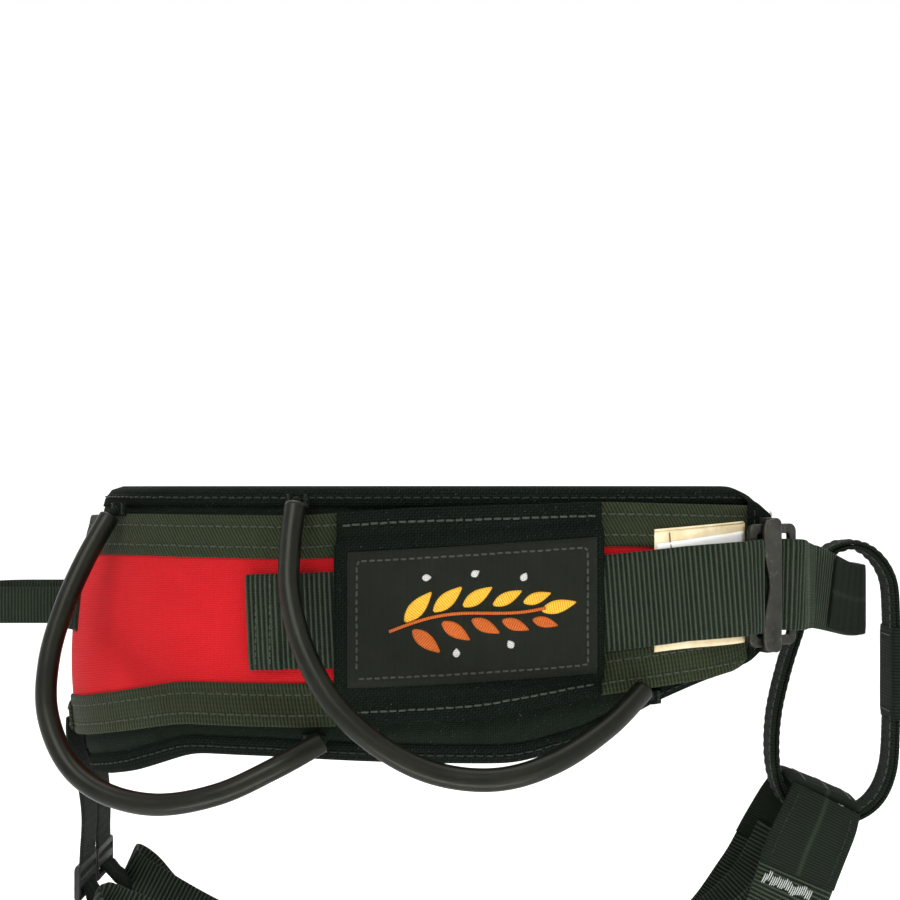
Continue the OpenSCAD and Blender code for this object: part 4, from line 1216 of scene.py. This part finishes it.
ANCHOR = [(-29, 6.4), (-24, 5.0), (-20, 2.9), (-16.5, -0.4), (-14.6, -2.2), (-12.8, -3.1), (-11, -3.05),
          (-9.6, -2.1), (-9.3, -0.8), (-10.4, 0.4), (-12, 0.75), (-14.5, 1.5), (-19, 4.0), (-24, 5.95),
          (-29, 7.4)]
line = [AT_BUCKLE @ Vector((x * MM, y * MM, 0)) for x, y in spline(ANCHOR, 6)]
anchor = band("right_buckle_tie", [np.array(p) for p in line], UP, 15 * MM, 0.9 * MM, 8, 0.08 * MM, 1.2 * MM)
settle(anchor, "flat_webbing", "webbing", "belt", "{}_buckle_anchor")

# ---- belay loop -----------------------------------------------------------------------------

BELAY = [(191, -27), (202, -31.5), (209.5, -43), (211.3, -60), (211.3, -85), (211.3, -112), (209.5, -135),
         (202, -150), (188, -157.5), (172, -156), (160, -148), (154.6, -133), (154.8, -110), (160, -86),
         (167, -64), (172, -46), (179, -32)]
BELAY_W = 16 * MM
BELAY_T = 4.4 * MM
COVER = (211.3 * MM, -88 * MM)
COVER_LONG = 44 * MM


def belay_loop():
    """Two layers of webbing sewn on each other all the way round, with a line of thread along each edge."""
    line = in_frame([(x, 0.0, z) for x, z in spline(BELAY, 24, closed=True)])
    layers = []
    for name, off in (("belay_loop_outer", BELAY_T / 4), ("belay_loop_inner", -BELAY_T / 4)):
        layers.append(band(name, line, SIDEWAYS, BELAY_W / 2 - 0.7 * MM, BELAY_T / 2 - 0.32 * MM, 10, 0.1 * MM,
                           1.5 * MM, closed=True, off=off))
    settle(join("belay_loop_webbing", layers), "loop_webbing", "loop_webbing", "belay", "belay_loop")
    _, across, face = band_frame(line, np.broadcast_to(SIDEWAYS, line.shape), closed=True)
    pairs = []
    for number, (side, out) in enumerate(((1, 1), (-1, 1), (1, -1), (-1, -1))):
        row = line + across * side * (BELAY_W / 2 - 2.8 * MM) + face * out * (BELAY_T / 2 - 0.05 * MM)
        pairs += seam(row, face * out, stitch=3.4 * MM, seed=70 + number)
    sew("belay_loop_stitches", pairs, "loop_webbing", "belay")


def belay_cover():
    """A cloth tube over the bar-tacked overlap, gathered a little at its open ends."""
    rings, us = [], []
    for d in spans(-COVER_LONG / 2, COVER_LONG / 2, 1.1 * MM):
        close = ease((COVER_LONG / 2 - abs(d)) / (4 * MM))
        x, y = 2.4 * MM + 0.3 * MM * close, 8.3 * MM + 0.3 * MM * close
        ring = []
        for k in range(40):
            a = -2 * math.pi * k / 40
            c, s = math.cos(a), math.sin(a)
            crease = 1 + 0.02 * math.sin(7 * a + 260 * d) * (1.2 - close)
            ring.append((COVER[0] + x * crease * math.copysign(abs(c) ** 0.35, c),
                         y * crease * math.copysign(abs(s) ** 0.35, s), BELT_TOP + COVER[1] + d))
        rings.append(ring)
        us.append(d)
    cover = loft("belay_loop_sleeve", rings, us, [1.5 * MM * k for k in range(41)])
    settle(cover, "loop_webbing", "black_tape", "belay", "belay_loop_cover")
    pairs = []
    for number, d in enumerate((-COVER_LONG / 2 + 4 * MM, COVER_LONG / 2 - 4 * MM)):
        for sign in (1, -1):
            row = [(COVER[0] + sign * 2.9 * MM, y, BELT_TOP + COVER[1] + d)
                   for y in spans(-7 * MM, 7 * MM, 3 * MM)]
            pairs += seam(row, [(sign, 0, 0)] * len(row), stitch=2.0 * MM, gap=0.6 * MM, seed=80 + number)
    sew("belay_sleeve_stitches", pairs, "loop_webbing", "belay")


belay_loop()
belay_cover()

# ---- leg loops ------------------------------------------------------------------------------

LEG = [(175.9, -14.3, -145.2, .92, 0, -.39, 17), (171.5, -17.5, -154, .92, 0, -.39, 18),
       (164, -19, -170, .9, .05, -.42, 19), (152, -25, -196, .85, .1, -.5, 19),
       (131, -43, -233, .7, .1, -.7, 19), (92, -79, -268, .35, .12, -.93, 19),
       (25, -112, -290, .05, .15, -.98, 19), (-45, -116, -286, -.15, .15, -.97, 19),
       (-106, -90, -266, -.3, .1, -.94, 19), (-146, -54, -226, -.4, .05, -.9, 17),
       (-160, -38, -199, -.4, 0, -.9, 14), (-162.5, -28, -192, -.4, 0, -.9, 13),
       (-152, -20, -198, -.35, 0, -.93, 13), (-100, -13, -222, -.3, 0, -.95, 13),
       (-30, -11, -238, -.05, 0, -1, 13), (50, -11, -238, .3, 0, -.95, 13),
       (112, -12, -222, .6, 0, -.8, 13), (146, -14, -198, .8, 0, -.6, 13),
       (163.4, -16.3, -170.7, .9, .05, -.42, 13)]         # x, y, z, which way its width lies, half width
LEG_SUB = 3                      # rings to a station in the CAD model, which place the buckle and keeper
LEG_BEND = [(0.1765, -0.0106, -0.093), (0.160, -0.022, -0.128)]
PAD_WIDE = [0, 0, 0, 0, 1, 10, 15, 15, 8, 2]
PAD_FROM, PAD_TO = 4, 9
LEG_PAD_T = 8 * MM
LEG_FRAME_OFF = 1.3 * MM
LEG_TAIL_HALF = 17.5 * MM
SLEEVED = 37 * MM                 # length of the plain wear sleeve at the front of each leg strap


def leg_route(stations, sub):
    """Points, width directions and half widths along the leg loop."""
    rows = spline(stations, sub)
    return in_frame(rows[:, :3]), rows[:, 3:6], rows[:, 6] * MM


def even(points, *others, step=WEB_STEP):
    """The same route in even steps."""
    at = lengths(points)
    s = np.linspace(0, at[-1], int(at[-1] / step))
    return [at_length(s, at, a) if a.ndim > 1 else np.interp(s, at, a) for a in (points, *others)]


def on_leg(ring, off):
    """Matrix of a place on the leg strap: local +X along it, -Y out of it, +Z across."""
    points, across, _ = leg_route(LEG, LEG_SUB)
    along = unit(points[ring + 1] - points[ring - 1])
    w = unit(across[ring] - along * (across[ring] @ along))
    y = np.cross(w, along)
    c = points[ring] - y * (WEB_T / 2 + off)
    return Matrix([[along[k], y[k], w[k], c[k]] for k in range(3)] + [[0, 0, 0, 1]])


def leg_strap():
    """The ribbed strap, in a plain wear sleeve where it leaves the bridge, with a pale bar tack below it."""
    points, across, half = even(*leg_route(LEG, 20))
    at = lengths(points)
    bare = ease((at - SLEEVED) / (2 * MM))
    thick = 1.1 * MM + (WEB_T - 2 * RIB - 1.1 * MM) * bare
    strap = band("right_leg_webbing", points, across, half - 0.5 * MM, thick, 10, RIB * bare, RIB_PITCH)
    settle(strap, "webbing", "webbing", "{}_leg", "{}_leg_strap", bend=LEG_BEND)
    n = int(np.searchsorted(at, SLEEVED + 1 * MM))
    mouth = 0.35 * MM * (1 - ease((at[n - 1] - at[:n]) / (4 * MM)))
    cover = band("right_leg_wear_sleeve", points[:n], across[:n], half[:n] - 0.2 * MM, 2.1 * MM + mouth, 16,
                 0.05 * MM, 1.2 * MM)
    settle(cover, "leg_sleeve", "webbing", "{}_leg", bend=LEG_BEND)
    _, wide, face = band_frame(points, across)
    pairs = []
    for side in (-1, 1):
        row = points + wide * side * (half - 4 * MM)[:, None] + face * 1.12 * MM
        pairs += seam(row[8:n - 6], face[8:n - 6], 2.4 * MM, 0.7 * MM, seed=95 + side)
    sew("right_leg_sleeve_stitches", pairs, "webbing", "{}_leg", "black_thread", 0.26 * MM, bend=LEG_BEND)
    i = n + int(6 * MM / WEB_STEP)
    middle = points[i] + face[i] * 1.5 * MM - wide[i] * 3.5 * MM
    mark = tack(middle, wide[i], face[i], 4.6 * MM, 25 * MM, 1.0 * MM, 1.1 * MM)
    sew("right_leg_bar_tack", mark, "webbing", "{}_leg", "pale_thread", 0.3 * MM, bend=LEG_BEND)


def bridge_pad():
    """Wear sleeve over the bridge that joins the leg loops, with three lines of stitches."""
    points = in_frame([(176.5, y, -142.748 - 0.12 * abs(y)) for y in spans(-12.6, 12.6, 0.5)])
    across = np.array([0.92, 0.0, -0.39])
    pad = band("bridge_sleeve", points, across, 17.3 * MM, 4.2 * MM, 16, 0.06 * MM, 1.2 * MM, sag=0.7 * MM)
    settle(pad, "leg_sleeve", "webbing", "belt", "leg_bridge")
    wide = unit(across)
    normal = np.cross(wide, SIDEWAYS)
    pairs = []
    for number, side in enumerate((-11.5 * MM, 0.0, 11.5 * MM)):
        lift = 2.75 * MM - 0.5 * MM * (side / 0.0173) ** 2
        line = in_frame([(176.5, y, -142.8 - abs(y) * 0.1) for y in spans(-12, 12, 2)])
        row = line + wide * side + normal * lift
        pairs += seam(row, [normal] * len(row), stitch=2.4 * MM, gap=0.7 * MM, seed=90 + number)
    sew("bridge_stitches", pairs, "webbing", "belt", "grey_thread", 0.28 * MM)


def leg_pad_route(less=0.0, sub=20):
    stations = [LEG[i][:6] + (LEG[i][6] + PAD_WIDE[i] - less,) for i in range(PAD_FROM, PAD_TO + 1)]
    return leg_route(stations, sub)


def leg_pad():
    """Foam padding inside the outer run of the leg loop, filled by simulation between its seams."""
    points, across, half = even(*leg_pad_route(), step=3.2 * MM)
    _, across, face = band_frame(points, across)
    middle = -(WEB_T / 2 + 1.8 * MM + LEG_PAD_T / 2)
    rings, pinned = [], []
    cells = 22
    last = len(points) - 1
    for i in range(last + 1):
        ring = []
        taper = 0.55 + 0.45 * ease(min(i, last - i) / 5)
        for sign in (1, -1):
            for t in np.linspace(-1, 1, cells + 1) * sign:
                lift = sign * LEG_PAD_T / 2 * taper * (1 - abs(t) ** 6 * 0.62)
                ring.append(points[i] + across[i] * (half[i] - 1.5 * MM) * t + face[i] * (middle + lift))
                pinned.append(sign > 0 or abs(t) > 0.9 or i < 2 or i > last - 2)
            ring.append(points[i] + across[i] * (half[i] - 0.8 * MM) * sign + face[i] * middle)
            pinned.append(True)
        rings.append(ring)
    row = [*np.linspace(-0.03, 0.03, cells + 1), 0.031]
    vs = row + [-v for v in row] + [-0.03]
    pad = loft("right_leg_pad_cloth", rings, list(lengths(points)), vs)
    inflate(pad, pinned, slack=0.02, limit=1.8 * MM)
    for piece in settle(pad, "lining", "pad_cloth", "{}_leg", "{}_leg_pad"):
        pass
    edges = [points + across * side * (half - 0.9 * MM)[:, None] + face * middle for side in (1, -1)]
    route = np.vstack([edges[0], edges[1][::-1]])
    wide = np.vstack([face, face[::-1]])
    tape = band("right_leg_pad_binding", route, wide, 3.3 * MM, 1.5 * MM, 4, 0.05 * MM, 1.5 * MM, closed=True)
    settle(tape, "black_tape", "pad_cloth", "{}_leg")


def leg_face():
    points, across, half = even(*leg_pad_route(7), step=1.5 * MM)
    cut = int(len(points) * 0.06)
    points, across, half = points[cut:-cut], across[cut:-cut], half[cut:-cut]
    _, across_unit, face = band_frame(points, across)
    cloth = band("right_leg_red_face", points, across, half, 0.6 * MM, 26, 0, off=-(WEB_T / 2 + 0.75 * MM))
    settle(cloth, "red_cloth", "red_cloth", "{}_leg", "{}_leg_face")
    pairs = []
    for number, side in enumerate((1, -1)):
        row = points + across_unit * side * (half - 2.5 * MM)[:, None] - face * (WEB_T / 2 + 0.42 * MM)
        pairs += seam(row, face, seed=100 + number)
    sew("right_leg_face_stitches", pairs, "red_cloth", "{}_leg")


def leg_buckle():
    place = on_leg(13, LEG_FRAME_OFF)
    frame_piece = buckle_frame("right_leg_frame", 26 * MM, 48 * MM, 4 * MM, place)
    settle(frame_piece, "buckle", "buckle", "{}_leg", "{}_leg_buckle_frame")
    slider = buckle_slider("right_leg_slider", -7 * MM, 3 * MM, 48 * MM, place)
    settle(slider, "buckle", "buckle", "{}_leg_slider", "{}_leg_buckle_slider")
    return place


def leg_tail(place):
    """The strap's free end, woven through the buckle and lying back along the strap to its hemmed tip."""
    strap = -WEB_T / MM / 2
    over, under = strap - FRAME_T / MM - 0.3, 0.3 - FRAME_T / MM - strap
    weave = [(-27, strap - 0.7), (-20, -3.2), (-13.5, over), (-11, over), (-8.8, over), (-6.4, under),
             (0, under), (7, under), (9.2, over), (11.5, over), (14, over), (19, -3.4), (27, strap - 0.6)]
    first = np.array([np.array(place @ Vector((x * MM, y * MM, 0))) for x, y in spline(weave, 8)])
    wide_way = np.array(place.to_3x3() @ Vector((0, 0, 1)))
    points, across, _ = leg_route(LEG, 20)
    _, across_unit, face = band_frame(points, across)
    laid = points + face * (WEB_T + 0.4 * MM)
    start = int(np.argmin(np.linalg.norm(laid - first[-1], axis=1))) + 4
    stop = 8 * 20
    route = np.vstack([first, laid[start:stop]])
    wide = np.vstack([np.tile(wide_way, (len(first), 1)), across_unit[start:stop]])
    route, wide = even(route, wide)
    tip = lengths(route)
    fold = 0.9 * MM * (1 - ease((tip[-1] - tip - 12 * MM) / (1.2 * MM)))
    tail = band("right_leg_tail_webbing", route, wide, LEG_TAIL_HALF, WEB_T - 2 * RIB + fold, 10, RIB, RIB_PITCH,
                off=fold / 2)
    settle(tail, "webbing", "webbing", "{}_leg", "{}_leg_tail")
    _, across, face = band_frame(route, wide)
    pairs = []
    for number, inset in enumerate((4 * MM, 9.5 * MM)):
        i = int(np.argmin(np.abs(tip[-1] - inset - tip)))
        middle = route[i] + face[i] * (WEB_T / 2 + 0.75 * MM)
        row = [middle + across[i] * d for d in spans(-15.5 * MM, 15.5 * MM, 3 * MM)]
        pairs += seam(row, [face[i]] * len(row), stitch=2.2 * MM, gap=0.5 * MM, seed=110 + number)
    sew("right_leg_tail_stitches", pairs, "webbing", "{}_leg")


def leg_keeper():
    """Elastic keeper round the strap and its tail."""
    place = on_leg(20, 0.0)
    outline = rounded(42.0 * MM, 8.0 * MM, 2.6 * MM)
    ring = np.array([place @ Vector((0, y - 1.7 * MM, z)) for z, y in outline])
    ring = ring[np.linalg.norm(np.roll(ring, -1, axis=0) - ring, axis=1) > 1e-6]
    ring = np.vstack([ring, ring[:1]])
    at = lengths(ring)
    ring = at_length(np.linspace(0, at[-1], 120, endpoint=False), at, ring)
    along = np.array(place.to_3x3() @ Vector((1, 0, 0)))
    keeper = band("right_leg_keeper_elastic", ring, along, 7 * MM, 0.9 * MM, 8, 0.07 * MM, 1.0 * MM, closed=True)
    settle(keeper, "elastic", "elastic", "{}_leg_keeper", "{}_leg_keeper")


leg_strap()
bridge_pad()
leg_pad()
leg_face()
leg_tail(leg_buckle())
leg_keeper()

# ---- elastic risers -------------------------------------------------------------------------

RISER = [(-176.6, -10.9, -106), (-176.6, -10.9, -113), (-175.3, -10.9, -124), (-171.5, -10.9, -136),
         (-169.5, -10.9, -152), (-169.9, -12, -168), (-170, -12.9, -176), (-170.2, -13.3, -180.5)]
RISER_TIE = [(-171.6, -14.2, -186.5), (-172.8, -14.4, -184.9), (-171.8, -14.4, -183.2), (-169.2, -14.6, -184.2),
             (-166.6, -15.6, -187.2), (-163.6, -18.4, -191.6), (-158.6, -21.2, -196)]
RISER_BEND = [(-0.1766, -0.0105, -0.063), (-0.1700, -0.0120, -0.118)]
SLIDE = Vector((-170.4 * MM, -13.6 * MM, BELT_TOP - 181.5 * MM))


def risers():
    """The elastic risers, their adjusters, and the small webbing loops that tie those to the leg straps."""
    points = even(in_frame(spline(RISER, 12)))[0]
    at = lengths(points)
    half = 10.5 * MM + 0.15 * MM * np.sin(at / (4.1 * MM)) * np.exp(-at / (30 * MM))
    riser = band("right_riser_elastic", points, SIDEWAYS, half, 1.4 * MM, 10, 0.12 * MM, 1.1 * MM)
    settle(riser, "elastic", "elastic", "{}_leg", "{}_riser", bend=RISER_BEND)
    place = Matrix.Translation(SLIDE) @ Matrix.Rotation(math.pi / 2, 4, "Z")
    place = place @ Matrix.Translation((0, 1.4 * MM, 0))
    outlines = [rounded(26 * MM, 16 * MM, 2.5 * MM)]
    outlines += [rounded(21.6 * MM, 2.6 * MM, 0.8 * MM, (0, z))[::-1] for z in (-3.4 * MM, 3.4 * MM)]
    slide = plate("right_riser_slide_plastic", outlines, 2.8 * MM, 0.7 * MM, place)
    settle(slide, "moulded", "moulded", "{}_leg", "{}_riser_slide")
    tie = band("right_riser_tie", in_frame(spline(RISER_TIE, 10)), SIDEWAYS, 7.6 * MM, 1.1 * MM, 8,
               0.07 * MM, 1.2 * MM)
    settle(tie, "flat_webbing", "webbing", "{}_leg")


def riser_patch():
    """The tab that sews the risers' upper ends to the lower tape."""
    tab = belt_sheet("riser_tab_cloth", -26 * MM, 26 * MM, 1.5 * MM, lambda s: -110.2 * MM, lambda s: -98.8 * MM,
                     lambda s, z: TAPE_R + 1.2 * MM, 1.3 * MM, 12)
    settle(tab, "olive_tape", "olive_tape", "belt", "riser_tab")
    pairs = []
    for number, z in enumerate((-108.2 * MM, -100.8 * MM)):
        points, normals = belt_row(-25 * MM, 25 * MM, lambda s: z, lambda s: TAPE_R + 2.5 * MM)
        pairs += seam(points, normals, stitch=2.2 * MM, gap=0.6 * MM, seed=120 + number)
    sew("riser_tab_stitches", pairs, "olive_tape", "belt")


risers()
riser_patch()

# ---- haul loop ------------------------------------------------------------------------------

HAUL_Z = -54 * MM
HAUL_X = -180.3 * MM
HAUL_HALF = 22 * MM
HAUL_WIDE = 17 * MM
HAUL_BEND = [(-0.178, 0.0, -0.004), (-0.192, 0.0, -0.004)]


def haul_loop():
    """Sling webbing folded to a loop, its ends sewn flat to the belt under a tab."""
    height = BELT_TOP + HAUL_Z
    half = [tuple(on_belt(s, TAPE_R + 2.0 * MM, HAUL_Z)) for s in (8 * MM, 14 * MM, 18.5 * MM)]
    half += [(HAUL_X - 1.0 * MM, -21.4 * MM, height)]
    half += [(HAUL_X + x * MM, -HAUL_HALF, height) for x in (-5, -12, -20, -28)]
    half += [(HAUL_X - 28 * MM - HAUL_HALF * math.sin(a), -HAUL_HALF * math.cos(a), height)
             for a in np.radians([22.5, 45, 67.5, 90])]
    points = even(spline(half + [(x, -y, z) for x, y, z in half[-2::-1]], 12))[0]
    loop = band("haul_loop_webbing", points, UP, HAUL_WIDE / 2 - 0.6 * MM, 1.7 * MM, 10, 0.12 * MM, 1.5 * MM)
    settle(loop, "haul_webbing", "loop_webbing", "haul", "haul_loop", bend=HAUL_BEND)

    def tab_r(s, z=HAUL_Z):
        return TAPE_R - 0.2 * MM + 2.3 * MM * ease((30 * MM - abs(s)) / (9 * MM))
    tab = belt_sheet("haul_loop_tab_cloth", -33 * MM, 33 * MM, 1.2 * MM, lambda s: HAUL_Z - 10 * MM,
                     lambda s: HAUL_Z + 10 * MM, tab_r, 1.4 * MM, 14)
    settle(tab, "flat_webbing", "webbing", "belt", "haul_loop_tab")
    pairs = []
    for s in (-26 * MM, -13 * MM, 13 * MM, 26 * MM):
        pairs += tack(on_belt(s, tab_r(s) + 1.55 * MM, HAUL_Z), UP, outward(s), 2.6 * MM, 15 * MM)
    sew("haul_tab_tacks", pairs, "webbing", "belt", radius=0.28 * MM)


haul_loop()

# ---- gear loops -----------------------------------------------------------------------------

FRONT_GEAR = [(-60.5, -102, -6.5), (-61.5, -109, -22), (-60.5, -118, -40), (-54, -127, -60), (-42, -134, -79),
              (-24, -138, -94), (-4, -139, -103), (18, -138, -105), (39, -132, -100), (59.5, -119, -90),
              (75.5, -103, -79)]
REAR_GEAR = [(-144.5, -63.5, -12), (-152.5, -71, -30), (-159, -79, -50), (-162.5, -86, -70), (-161, -92, -90),
             (-150.5, -100, -108), (-134, -107, -118), (-112, -113, -121), (-88, -117, -116), (-67, -114, -107),
             (-50, -104.5, -99)]
TUBE_R = 4.2 * MM
BORE_R = 2.7 * MM
CORD_R = 1.7 * MM
BORE = 6 * MM
TUBE_SIDES = 28
TAB_HALF = (4.8 * MM, 2.9 * MM)
TAB_R = TAPE_R + 1.2 * MM
# s, z and r of the tab at each end
GEAR_ENDS = {"front": ((149 * MM, -5 * MM, TAB_R), (289 * MM, -83.5 * MM, 0.2 * MM)),
             "rear": ((62 * MM, -9 * MM, TAB_R), (154 * MM, -101 * MM, 0.2 * MM))}


def gear_loop(kind, stations):
    """A plastic tube over a cord: open square-cut ends, and the cord bending on from each into its sewn tab."""
    points = even(in_frame(spline(stations, 16)), step=1.4 * MM)[0]
    at = lengths(points)
    last, body = at[-1], "{}_%s_gear" % kind

    def spot(s):
        return at_length(s, at, points)
    end = [(BORE, BORE_R), (0.1 * MM, BORE_R), (0.0, BORE_R + 0.25 * MM), (0.0, TUBE_R - 0.35 * MM),
           (0.3 * MM, TUBE_R)]
    middle = [(s, TUBE_R * (1 + 0.006 * math.sin(95 * s) + 0.004 * math.sin(210 * s + 1))) for s in at[1:-1]]
    stops = np.array(end + middle + [(last - s, r) for s, r in end[::-1]])
    way = unit_rows(np.array([spot(min(s + MM, last)) - spot(max(s - MM, 0)) for s in stops[:, 0]]))
    u = unit_rows(np.cross(way, [0.35, 1, 0.1]))
    angles = [2 * math.pi * k / TUBE_SIDES for k in range(TUBE_SIDES + 1)]
    rings = round_rings(spot(stops[:, 0]), u, np.cross(way, u), stops[:, 1], [-a for a in angles[:-1]])
    tube = loft("right_%s_gear_tube" % kind, rings, list(stops[:, 0]), [TUBE_R * a for a in angles])
    settle(tube, "tube", "tube", body, "{}_%s_gear_loop" % kind)
    ends = ((BORE * 0.9, 0.0), (last - BORE * 0.9, last))
    for number, ((s, z, r), (inside, mouth)) in enumerate(zip(GEAR_ENDS[kind], ends), 1):
        tab, inside, mouth = on_belt(s, r + 1.0 * MM, z), spot(inside), spot(mouth)
        beyond = mouth + (mouth - inside) * 0.25 + (tab - mouth) * 0.3
        route = even(spline([inside, (inside + mouth) / 2, mouth, beyond, tab], 8), step=0.6 * MM)[0]
        bead = CORD_R * (1 + 0.07 * np.sin(lengths(route) / (0.5 * MM)))
        cord = round_bar("right_%s_gear_cord_%d" % (kind, number), route, bead, 12)
        settle(cord, "flat_webbing", "black_tape", body, bend=[tab.tolist(), mouth.tolist()])


def gear_tabs():
    parts, pairs = [], []
    long, tall = TAB_HALF
    for s, z, r in GEAR_ENDS["front"] + GEAR_ENDS["rear"]:
        def over_cord(q, _):
            return r + 1.1 * MM * ease((4.5 * MM - abs(q - s)) / (3 * MM))
        parts.append(belt_sheet("tab", s - long, s + long, 0.7 * MM, lambda q: z - tall, lambda q: z + tall,
                                over_cord, 1.0 * MM, 10))
        for side in (-3.4 * MM, 3.4 * MM):
            pairs += tack(on_belt(s + side, r + 1.45 * MM, z), UP, outward(s), 1.8 * MM, 5 * MM, 0.6 * MM)
    settle(join("right_gear_loop_tabs", parts), "black_tape", "black_tape", "belt", "{}_gear_loop_ends")
    sew("right_gear_tab_tacks", pairs, "black_tape", "belt", "black_thread", 0.24 * MM)


gear_loop("front", FRONT_GEAR)
gear_loop("rear", REAR_GEAR)
gear_tabs()

# ---- camera, light and floor ----------------------------------------------------------------

camera = bpy.data.cameras.new("camera")
camera.lens = 46.3
camera.sensor_width = 36
camera.shift_y = 0.042
viewer = add_object("camera", camera)
viewer.location = (0, -0.555, BELT_TOP)
viewer.rotation_euler = (math.pi / 2, 0, 0)
bpy.context.scene.camera = viewer


def soft_light(name, place, target, size, power):
    light = bpy.data.lights.new(name, "AREA")
    light.shape = "RECTANGLE"
    light.size, light.size_y = size
    light.energy = power
    lamp = add_object(name, light)
    lamp.location = place
    lamp.rotation_euler = (Vector(target) - Vector(place)).to_track_quat("-Z", "Y").to_euler()
    lamp.visible_camera = False


soft_light("key", (-0.5, -1.6, 1.5), (0, 0, 0), (1.2, 0.9), 26)
soft_light("fill", (0.9, -1.5, -0.5), (0, -0.1, 0), (0.5, 0.6), 6)
soft_light("low", (0.0, -0.44, -0.40), (0, -0.13, -0.05), (0.7, 0.035), 2.2)
soft_light("top", (0.1, 0.3, 1.9), (0, 0, 0), (1.4, 1.4), 16)
soft_light("back", (-0.6, 1.7, 1.1), (0, 0, 0), (1.2, 0.9), 14)

world = bpy.data.worlds.new("studio")
world.use_nodes = True
world.node_tree.nodes["Background"].inputs[0].default_value = (1, 1, 1, 1)
world.node_tree.nodes["Background"].inputs[1].default_value = 1.0
bpy.context.scene.world = world
bpy.context.scene.view_settings.view_transform = "Standard"

FLOOR_Z = -0.42
bowl = [(0.0, FLOOR_Z), (1.0, FLOOR_Z), (2.0, FLOOR_Z)]
bowl += [(2.0 + 0.8 * math.sin(a), FLOOR_Z + 0.8 - 0.8 * math.cos(a)) for a in np.radians(np.arange(10, 91, 10))]
bowl += [(2.8, 1.2)]
sides = 64
turns = [2 * math.pi * k / sides for k in range(sides)]
verts = [(r * math.cos(a), r * math.sin(a), z) for r, z in bowl[1:] for a in turns]
faces = [tuple(range(sides))]
for i in range(len(bowl) - 2):
    for k in range(sides):
        l = (k + 1) % sides
        faces.append((i * sides + k, (i + 1) * sides + k, (i + 1) * sides + l, i * sides + l))
floor = make_object("floor", verts, faces)
paper = Shade("studio paper", Specular_IOR_Level=0.1)
floor.data.materials.append(paper.finish((0.92, 0.92, 0.92), 0.9))
